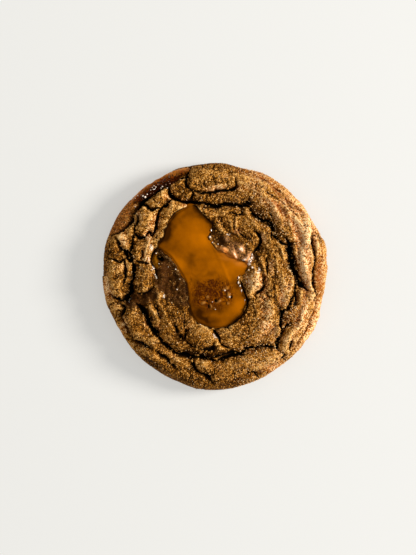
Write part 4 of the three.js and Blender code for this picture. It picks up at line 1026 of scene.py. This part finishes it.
def scatter(name, weights, count, low, high, lift, seed):
    """Joined grains between two sizes, at points drawn by weight.

    They stand off the dough by `lift`, a share of their own size.
    """
    rng = np.random.default_rng(seed)
    chosen = rng.choice(len(points), count, replace=False, p=weights / weights.sum())
    verts, faces = grain_shape()
    sizes = rng.uniform(low, high, (count, 1, 1)) * rng.uniform(0.7, 1.2, (count, 1, 3))
    turns = rng.normal(size=(count, 3, 3))
    turns, _ = np.linalg.qr(turns)
    places = points[chosen] + normals[chosen] * sizes.mean(2) * lift
    placed = np.einsum("nij,vj->nvi", turns, verts) * sizes + places[:, None]
    all_faces = faces[None] + (np.arange(count) * len(verts))[:, None, None]
    mesh = bpy.data.meshes.new(name)
    mesh.from_pydata((placed.reshape(-1, 3) * MM).tolist(), [], all_faces.reshape(-1, 3).tolist())
    bm = bmesh.new()
    bm.from_mesh(mesh)
    bmesh.ops.recalc_face_normals(bm, faces=bm.faces[:])
    bm.to_mesh(mesh)
    bm.free()
    piece = in_scene(name, mesh)
    paint(piece, {"own": np.repeat(rng.random(count), len(verts))})
    print(f"{name}: {count} grains, {len(mesh.polygons)} triangles")
    return piece


CLEAR_OF_SIDE = 5
on_crust = (1 - in_crack) * (1 - glazed) * (from_pool > 1) * (along < TOP_RUN)
sugared = on_crust * (0.12 + 1.4 * rightwards) * np.clip(1 + 3 * grain, 0.1, 3)
sugar = scatter("sugar_grains", sugared, count=3200, low=0.2, high=0.36, lift=0.0, seed=7)
crack_edges = 4 * in_crack * (1 - in_crack) * (from_pool > 1) * (along < TOP_RUN - CLEAR_OF_SIDE)
loose = on_crust * (from_pool > 1.2) * (along < TOP_RUN - CLEAR_OF_SIDE - 1) + 0.2 * crack_edges
crumbs = scatter("dough_crumbs", loose, count=2200, low=0.3, high=0.65, lift=0.02, seed=8)

# %% [markdown]
# Where the toffee boiled against the dough it left beads, which catch the light: they are glossy, and their
# near white colour is a painted highlight. Each is a small ball that is flattened and half sunk. They are
# joined into one piece.

# %% Beads of toffee
BEADS = [
    # x, y, radius
    (14.8, 3.6, 0.44), (13.4, 2.6, 0.28), (-2, 15.7, 0.44), (-1, 13.6, 0.24), (1.2, 12.9, 0.24),
    (5.8, -8.1, 0.36), (3.9, -5.5, 0.32), (-1, -10.1, 0.18), (0.1, -13.1, 0.18), (-15.7, 2.9, 0.26),
    (-15.1, -5.1, 0.28), (-14, -1, 0.14), (-18.6, 3.8, 0.13), (-22.3, 5.1, 0.18), (-5.8, -19.1, 0.2),
    (11.9, -9.3, 0.22), (-20.2, -8.2, 0.28), (-24.4, 3.2, 0.36), (-23.9, 0.8, 0.26), (-28.7, 32, 0.34),
    (-27.8, 31.6, 0.44), (-27, 32.7, 0.26), (-25, 35.4, 0.22), (-24.3, 36.1, 0.2), (-24.6, 34.7, 0.2),
    (-23.6, 35.6, 0.26), (-21, 35.8, 0.26), (-21.5, 35.2, 0.2), (-31.8, 31.2, 0.16), (-30.9, 32.3, 0.18),
    (-19, 35.2, 0.2), (-31.8, 27.8, 0.26), (-23.4, 9.2, 0.26), (-23.9, 34.9, 0.18), (-25.6, 34.4, 0.16),
]
LONG_BEADS = [
    # x, y, radius: these are drawn out along y, and most lie along the pool's right edge
    (9.35, -0.4, 0.24), (9.3, -2.4, 0.28), (9.95, -3.7, 0.24), (10.55, -5.6, 0.26), (-1.5, 18.4, 0.26),
    (14.7, 8.7, 0.24), (14.5, 7.4, 0.26), (14.2, 6.1, 0.26), (13.8, 4.9, 0.22),
]
FLATTENED, DRAWN_OUT, SUNK = 0.7, 2.0, 0.1


def highest_near(places, x, y, reach):
    """The height of the highest point within reach of a place, or far below where there is none."""
    near = np.hypot(places[:, 0] - x, places[:, 1] - y) < reach
    return places[near, 2].max(initial=-FAR)


bead_bm = bmesh.new()
for number, (bead_x, bead_y, bead_radius) in enumerate(BEADS + LONG_BEADS):
    length = DRAWN_OUT if number >= len(BEADS) else 1.0
    ground = max(highest_near(made, bead_x, bead_y, reach) for made, reach in [
        (points, 0.8), (pool_points, 0.8), (leak_points, 0.4)])
    bead = bmesh.ops.create_icosphere(bead_bm, subdivisions=3, radius=bead_radius * MM)["verts"]
    bmesh.ops.scale(bead_bm, vec=(1, length, FLATTENED), verts=bead)
    place = Vector((bead_x, bead_y, ground - SUNK * bead_radius)) * MM
    bmesh.ops.translate(bead_bm, vec=place, verts=bead)
beads = mesh_from(bead_bm, "toffee_beads")
print("beads:", len(BEADS) + len(LONG_BEADS), "with", len(beads.data.polygons), "triangles")

# %% [markdown]
# ## Materials as expressions
# Node trees are easier to read as sums. `Value` wraps one socket: adding, taking away and multiplying make
# Math nodes, and `node` makes any other kind from its type, its settings and its inputs. A finish is then
# built as a cook glazes a cake: one colour first, and others laid over it where a number says so.


# %% A socket that can be calculated with
class Value:
    """One socket of a node tree, or the tree alone."""

    def __init__(self, tree, socket=None):
        self.tree, self.socket = tree, socket

    def node(self, kind, settings=None, inputs=None, output=0):
        made = self.tree.nodes.new(kind)
        for key, setting in (settings or {}).items():
            if key == "stops":
                marks = made.color_ramp.elements
                while len(marks) < len(setting):
                    marks.new(1)
                for element, (position, colour) in zip(marks, setting):
                    element.position, element.color = position, colour
            else:
                setattr(made, key, setting)
        for key, given in (inputs or {}).items():
            if isinstance(given, Value):
                self.tree.links.new(given.socket, made.inputs[key])
            else:
                made.inputs[key].default_value = given
        return Value(self.tree, made.outputs[output] if made.outputs else None)

    def read(self, name):
        """A number that the mesh stores for each point."""
        return self.node("ShaderNodeAttribute", {"attribute_name": name}, None, "Fac")

    def math(self, operation, *others):
        return self.node("ShaderNodeMath", {"operation": operation}, dict(enumerate(others)))

    def __add__(self, other):
        return self.math("ADD", self, other)

    def __sub__(self, other):
        return self.math("SUBTRACT", self, other)

    def __rsub__(self, other):
        return self.math("SUBTRACT", other, self)

    def __mul__(self, other):
        return self.math("MULTIPLY", self, other)

    __radd__ = __add__
    __rmul__ = __mul__


def clamp(value, low=0.0, high=1.0):
    return value.node("ShaderNodeClamp", None, {"Value": value, "Min": low, "Max": high})


def ramp(value, *stops):
    """The colour at a value from 0 to 1, on a scale of colours."""
    return value.node("ShaderNodeValToRGB", {"stops": stops}, {0: value})


def texture(tree, scale_mm, detail=2.0, roughness=0.5, curl=0.0):
    """Noise from 0 to 1 whose largest features are about scale_mm wide."""
    place = tree.node("ShaderNodeTexCoord", None, None, "Object")
    inputs = {"Vector": place, "Scale": 1 / (scale_mm * MM), "Detail": detail, "Roughness": roughness}
    return tree.node("ShaderNodeTexNoise", None, {**inputs, "Distortion": curl})


def sand(tree, scale_mm):
    """Grains about scale_mm wide, each with its own number from 0 to 1."""
    place = tree.node("ShaderNodeTexCoord", None, None, "Object")
    return tree.node("ShaderNodeTexVoronoi", None, {"Vector": place, "Scale": 1 / (scale_mm * MM)}, "Color")


def mixed(share, first, second):
    """The first colour where share is 0 and the second where it is 1."""
    return share.node("ShaderNodeMix", {"data_type": "RGBA"}, {0: share, 6: first, 7: second}, 2)


def laid_over(colour, *layers):
    """A colour with others laid over it in turn, each by a share that is kept from 0 to 1."""
    for share, over in layers:
        colour = mixed(clamp(share), colour, over)
    return colour


def bumps(height, strength, distance_mm):
    return height.node("ShaderNodeBump", None, {
        "Strength": strength, "Distance": distance_mm * MM, "Height": height})


# %% A material and its principled shader
def linear(red, green, blue):
    """A colour given as a screen shows it, from 0 to 255, as the linear numbers that a shader takes."""
    parts = [c / 255 for c in (red, green, blue)]
    return (*[c / 12.92 if c <= 0.04045 else ((c + 0.055) / 1.055) ** 2.4 for c in parts], 1)


def new_material(name):
    """An empty material, and its tree to build in."""
    material = bpy.data.materials.new(name)
    material.use_nodes = True
    material.node_tree.nodes.clear()
    return material, Value(material.node_tree)


def finish_material(tree, inputs):
    """The principled shader with the given inputs, on the surface."""
    shader = tree.node("ShaderNodeBsdfPrincipled", None, inputs)
    tree.node("ShaderNodeOutputMaterial", None, {"Surface": shader})


# %% [markdown]
# ## The dough's finish
# Baked dough is tan, and peach where the oven toasted it. Its grains are painted lighter and its pits dark
# brown, as painted light and shade, and the toast number also paints broad light and shade. The deep cracks
# are painted almost black as painted shade. The glazed patches are darker and shiny. Painted shade lines the
# pool's edge and the grooves between the folds, and painted highlights mark the wet edges. All of it reads
# the attributes, and a fine noise adds the grain that is smaller than the mesh.

# %% Colours of the dough
TAN, BROWN, DARK = linear(204, 139, 52), linear(136, 80, 18), linear(50, 26, 4)
PALE, SHADE_BLACK = linear(238, 186, 112), linear(8, 5, 2)
PEACH, PEACH_LIGHT = linear(246, 158, 66), linear(255, 224, 166)
PEACH_DARK, PEACH_DEEP = linear(194, 94, 12), (0.12, 0.03, 0.002, 1)
GLAZE_BROWN, STAIN = linear(66, 35, 11), linear(200, 114, 44)
KNOB_PINK, DEEP_SLIVER = linear(250, 178, 112), linear(120, 72, 4)
MELT_ORANGE, PAINTED_GLEAM_WHITE = linear(204, 116, 40), linear(255, 236, 212)
BLONDE_PEACH, GROOVE_SHADE_RED, POOL_EDGE_SHADE = linear(232, 160, 100), linear(142, 70, 24), linear(30, 11, 2)
print("tan as the shader takes it:", [round(c, 3) for c in TAN])

# %% How light the crust is
material, tree = new_material("baked_dough")
read = tree.read
fine_grain = texture(tree, 0.42, 1, 0.6)
curled = texture(tree, 1.3, 2, 0.7, 4.0)
sandy = sand(tree, 0.44)
slow = texture(tree, 9, 2)
mottled = texture(tree, 1.4, 3, 0.6)
toast_and_light_here, stain, melted = read("toast"), read("stain"), read("melted")
# painted light and shade: what stands up is lighter, pits are darker, and the toast patches light and shade
# broad areas
broad = 0.25 + 0.19 * read("stand") + 0.15 * read("high") + 0.3 * toast_and_light_here
broad = clamp(broad + 0.3 * (slow - 0.5), -1.0, 0.88)
sugary = 1 + 0.7 * clamp(toast_and_light_here - 0.4)
light = clamp(broad + 0.1 * read("grain") + 0.08 * read("speck")
              + sugary * (0.9 * (sandy - 0.5) + 2.5 * (fine_grain - 0.5)) + 1.4 * (curled - 0.5)
              - 0.15 * read("pit"))
tan_crust = ramp(light, (0, DARK), (0.42, BROWN), (0.8, TAN), (1, PALE))
peach_crust = ramp(light, (0, PEACH_DEEP), (0.3, PEACH_DARK), (0.62, PEACH), (1, PEACH_LIGHT))
crust = mixed(clamp(1.2 * (toast_and_light_here - 0.4)), tan_crust, peach_crust)
print("crust so far:", len(material.node_tree.nodes), "nodes")

# %% What lies over the crust
soaked = clamp(read("glaze") * 1.1)
knob_tops = clamp(read("knob") * (3 * fine_grain + 1.4 * sandy - 1.7 + 0.9 * read("stand")), 0, 0.9)
painted_gleam_speckle = 4.4 * fine_grain + 2 * curled - 2
crust = laid_over(
    crust,
    # painted shade in the grooves between the folds
    (read("groove") * (0.2 + 0.9 * fine_grain), GROOVE_SHADE_RED),
    (stain * (2.6 * curled + 2 * fine_grain - 1.9), STAIN),
    (stain * (1.1 - 3.4 * sandy), DARK),
    (stain * (2.6 * sandy - 1.7), BLONDE_PEACH),
    (soaked * clamp(2.5 - 1.4 * mottled - 1.6 * fine_grain), GLAZE_BROWN),
    (soaked * clamp(2.7 - 5 * mottled), DARK),
    (read("blonde") * (2 * curled + 3 * fine_grain + 0.9 * sandy - 2.5), BLONDE_PEACH),
    (knob_tops, KNOB_PINK),
    (melted * (0.1 + 2 * fine_grain), MELT_ORANGE),
    (read("sliver"), DEEP_SLIVER),
    # painted shade along the joint where the toffee meets the dough
    (read("pool_edge") * (0.7 + 0.6 * fine_grain - 1.6 * melted), POOL_EDGE_SHADE),
    # painted shade: the deep cracks are painted almost black
    (read("crack") * (0.65 + fine_grain), SHADE_BLACK),
    # painted highlights on the wet edges
    (read("gleam") * painted_gleam_speckle - 0.25, PAINTED_GLEAM_WHITE),
)
finish_material(tree, {
    "Base Color": crust,
    "Roughness": 0.85 - 0.6 * soaked,
    "Specular IOR Level": 0.06,
    "Specular Tint": linear(255, 190, 120),
    "Coat Weight": clamp(0.8 * (toast_and_light_here - 0.6)) * clamp(8 * fine_grain - 4.6),
    "Coat Roughness": 0.36,
    "Normal": bumps(fine_grain, 0.9, 0.3),
})
dough.data.materials.append(material)
print("dough finish:", len(material.node_tree.nodes), "nodes")

# %% [markdown]
# ## The toffee's finish
# Toffee is clear amber, so light runs into it and it looks deeper coloured where it is thick. Full volume
# light is slow and noisy. Here a scale of ambers does that work: the mesh says how deep the colour is at
# each point, and the same number carries painted light and shade, darker along the edge and in broad
# patches. Two noises cloud and streak it. The froth and its threads are laid over that in brown, and its
# open bubbles in black as painted shade. The gloss is low, because a large soft light leaves no sharp
# reflection on it.

# %% Pool material
AMBER, MID_AMBER, DEEP_AMBER = linear(188, 103, 0), linear(145, 78, 0), linear(56, 25, 0)
THREAD_BROWN, KNUB_BROWN, THIN_AMBER = linear(66, 24, 3), linear(176, 116, 48), linear(214, 124, 34)
material, tree = new_material("amber_toffee")
read = tree.read
cloudy, streaked = texture(tree, 6, 3), texture(tree, 1.6, 3)
curly, foamy = texture(tree, 2.8, 3, 0.6, 3.0), texture(tree, 0.6, 2, 0.6)
# depth carries the toffee's amber together with painted light and shade
depth = clamp(0.5 + 0.42 * read("shade") + 0.5 * (cloudy - 0.5) + 0.22 * (streaked - 0.5))
amber = laid_over(
    ramp(depth, (0, DEEP_AMBER), (0.5, MID_AMBER), (1, AMBER)),
    (read("thin") * 0.8, THIN_AMBER),
    (read("froth") * (0.9 * cloudy + 5 * curly + 2.8 * foamy - 3.75), THREAD_BROWN),
    (0.5 * read("thread"), THREAD_BROWN),
    (read("froth") * (1.8 - 5 * curly), KNUB_BROWN),
    (read("knub") * (0.3 + 1.2 * curly), KNUB_BROWN),
    (read("hole"), SHADE_BLACK),
)
finish_material(tree, {
    "Base Color": amber,
    "Roughness": 0.3,
    "Specular IOR Level": 0.06,
    "Specular Tint": linear(255, 160, 60),
    "Coat Weight": 0.02,
    "Coat Roughness": 0.08,
    "Normal": bumps(streaked, 0.1, 0.2),
})
pool.data.materials.append(material)
print("pool finish:", len(material.node_tree.nodes), "nodes")

# %% Rim toffee material
BURNT, BURNT_LIGHT = linear(128, 54, 6), linear(214, 128, 36)
BURNT_EDGE, BURNT_DARK, BURNT_PAINTED_GLINT = linear(210, 140, 84), linear(40, 10, 0), linear(244, 190, 150)
material, tree = new_material("burnt_toffee")
patchy, spots = texture(tree, 2.2, 3, 0.65), texture(tree, 0.8, 2, 0.6)
bubbling, outwards = tree.read("boiled"), tree.read("outer")
burnt = laid_over(
    BURNT,
    (0.75 + 4 * (patchy - 0.5) + 2 * (spots - 0.5) + 0.5 * outwards - 0.6 * bubbling, BURNT_LIGHT),
    (2.4 * outwards - 1.3 + 1.2 * patchy, BURNT_EDGE),
    (0.4 + 4 * (spots - 0.5) + 2 * (patchy - 0.5) - 1.6 * (outwards + 0.15), BURNT_DARK),
    # painted glints on the boiled toffee
    (bubbling * (9 * spots - 5.7), BURNT_PAINTED_GLINT),
)
finish_material(tree, {
    "Base Color": burnt,
    "Roughness": 0.26,
    "Specular IOR Level": 0.04,
    "Specular Tint": linear(255, 190, 130),
    "Normal": bumps(spots, 0.4, 0.4),
})
leak.data.materials.append(material)
print("rim toffee finish:", len(material.node_tree.nodes), "nodes")

# %% Bead material
material, tree = new_material("toffee_beads_painted_glint")
finish_material(tree, {
    # the near white base colour is a painted highlight; the coat gives the real gloss
    "Base Color": linear(250, 224, 196),
    "Roughness": 0.2,
    "Specular IOR Level": 0.6,
    "Coat Weight": 1.0,
    "Coat Roughness": 0.15,
    "Coat IOR": 1.8,
})
beads.data.materials.append(material)

# %% [markdown]
# Sugar is pale and a little glossy; crumbs are the colours of the dough. Each grain's own number picks its
# shade between two colours.

# %% Sugar and crumb materials
for piece, name, darkest, lightest, roughness, gloss in [
    (sugar, "coarse_sugar", linear(190, 122, 46), linear(255, 214, 152), 0.4, 0.3),
    (crumbs, "dough_crumb", linear(84, 48, 12), linear(208, 146, 66), 0.9, 0.2),
]:
    material, tree = new_material(name)
    grain_colour = mixed(tree.read("own"), darkest, lightest)
    finish_material(tree, {"Base Color": grain_colour, "Roughness": roughness, "Specular IOR Level": gloss})
    piece.data.materials.append(material)
print("materials:", [m.name for m in bpy.data.materials])

# %% [markdown]
# ## Everything rides on the cookie
# The cookie is one body. Each new piece rides on it and says which plain solid it stands for, and that
# solid is hidden.

# %% Tie the pieces to the frame
for piece, node, slot in [
    (dough, "dough", "dough"),
    (pool, "toffee_pool", "toffee"),
    (leak, "toffee_leak", "dark_toffee"),
    (beads, None, "toffee"),
    (sugar, None, "dough"),
    (crumbs, None, "dough"),
]:
    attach(piece, "root")
    if node:
        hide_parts(node)

# %% [markdown]
# ## Table, light and camera
# A pale matt table, one large soft light from the right and a little above, and a dim even sky from
# everywhere else. The camera looks straight down from far enough away that the cookie's side doesn't show
# much. It is placed from the view's own frame: 416 by 555 pixels, with 0.4 mm to a pixel.

# %% Table
TABLE_SIZE, TABLE_GAP = 3.0, 0.02 * MM
table_bm = bmesh.new()
bmesh.ops.create_grid(table_bm, x_segments=2, y_segments=2, size=TABLE_SIZE / 2)
table = mesh_from(table_bm, "table_top")
table.location.z = -TABLE_GAP
TABLE_COLOUR, GLOW_COLOUR, TABLE_GLOW = linear(168, 167, 164), linear(243, 242, 237), 0.51
material, tree = new_material("pale_table")
finish_material(tree, {
    "Base Color": TABLE_COLOUR,
    "Roughness": 0.8,
    "Specular IOR Level": 0.0,
    "Emission Color": GLOW_COLOUR,
    "Emission Strength": TABLE_GLOW,
})
table.data.materials.append(material)
print("table:", TABLE_SIZE, "m wide")

# %% Camera
PIXEL = 0.4 * MM
FRAME_WIDTH, FRAME_HEIGHT = 416, 555
COOKIE_PIXEL = (215, 276.5)
CAMERA_HEIGHT, MEASURED_HEIGHT = 1.3, 0.005
camera_data = bpy.data.cameras.new("camera")
camera = in_scene("camera", camera_data)
camera_data.sensor_fit = "AUTO"
camera_data.sensor_width = 36
camera_data.lens = camera_data.sensor_width * (CAMERA_HEIGHT - MEASURED_HEIGHT) / (FRAME_HEIGHT * PIXEL)
camera.location = (
    (FRAME_WIDTH / 2 - COOKIE_PIXEL[0]) * PIXEL,
    (COOKIE_PIXEL[1] - FRAME_HEIGHT / 2) * PIXEL,
    CAMERA_HEIGHT,
)
bpy.context.scene.camera = camera
print("camera at", [round(c / MM, 1) for c in camera.location], "mm, lens", round(camera_data.lens, 1))

# %% Light
KEY_PLACE, KEY_SIZE, KEY_POWER = Vector((1.28, 0.16, 0.76)), 0.55, 30
key_data = bpy.data.lights.new("window", "AREA")
key_data.shape, key_data.size, key_data.energy = "DISK", KEY_SIZE, KEY_POWER
key_data.color = (1.0, 0.98, 0.95)
key = in_scene("window", key_data)
key.location = KEY_PLACE
key.rotation_euler = (-KEY_PLACE).to_track_quat("-Z", "Y").to_euler()
SKY_COLOUR, SKY_STRENGTH = (0.96, 0.98, 1.0, 1), 0.46
world = bpy.data.worlds.new("soft_sky")
world.use_nodes = True
background = world.node_tree.nodes["Background"]
background.inputs["Color"].default_value = SKY_COLOUR
background.inputs["Strength"].default_value = SKY_STRENGTH
bpy.context.scene.world = world
bpy.context.scene.view_settings.view_transform = "Standard"
print("light of", KEY_POWER, "W at", [round(c, 2) for c in KEY_PLACE], "m")
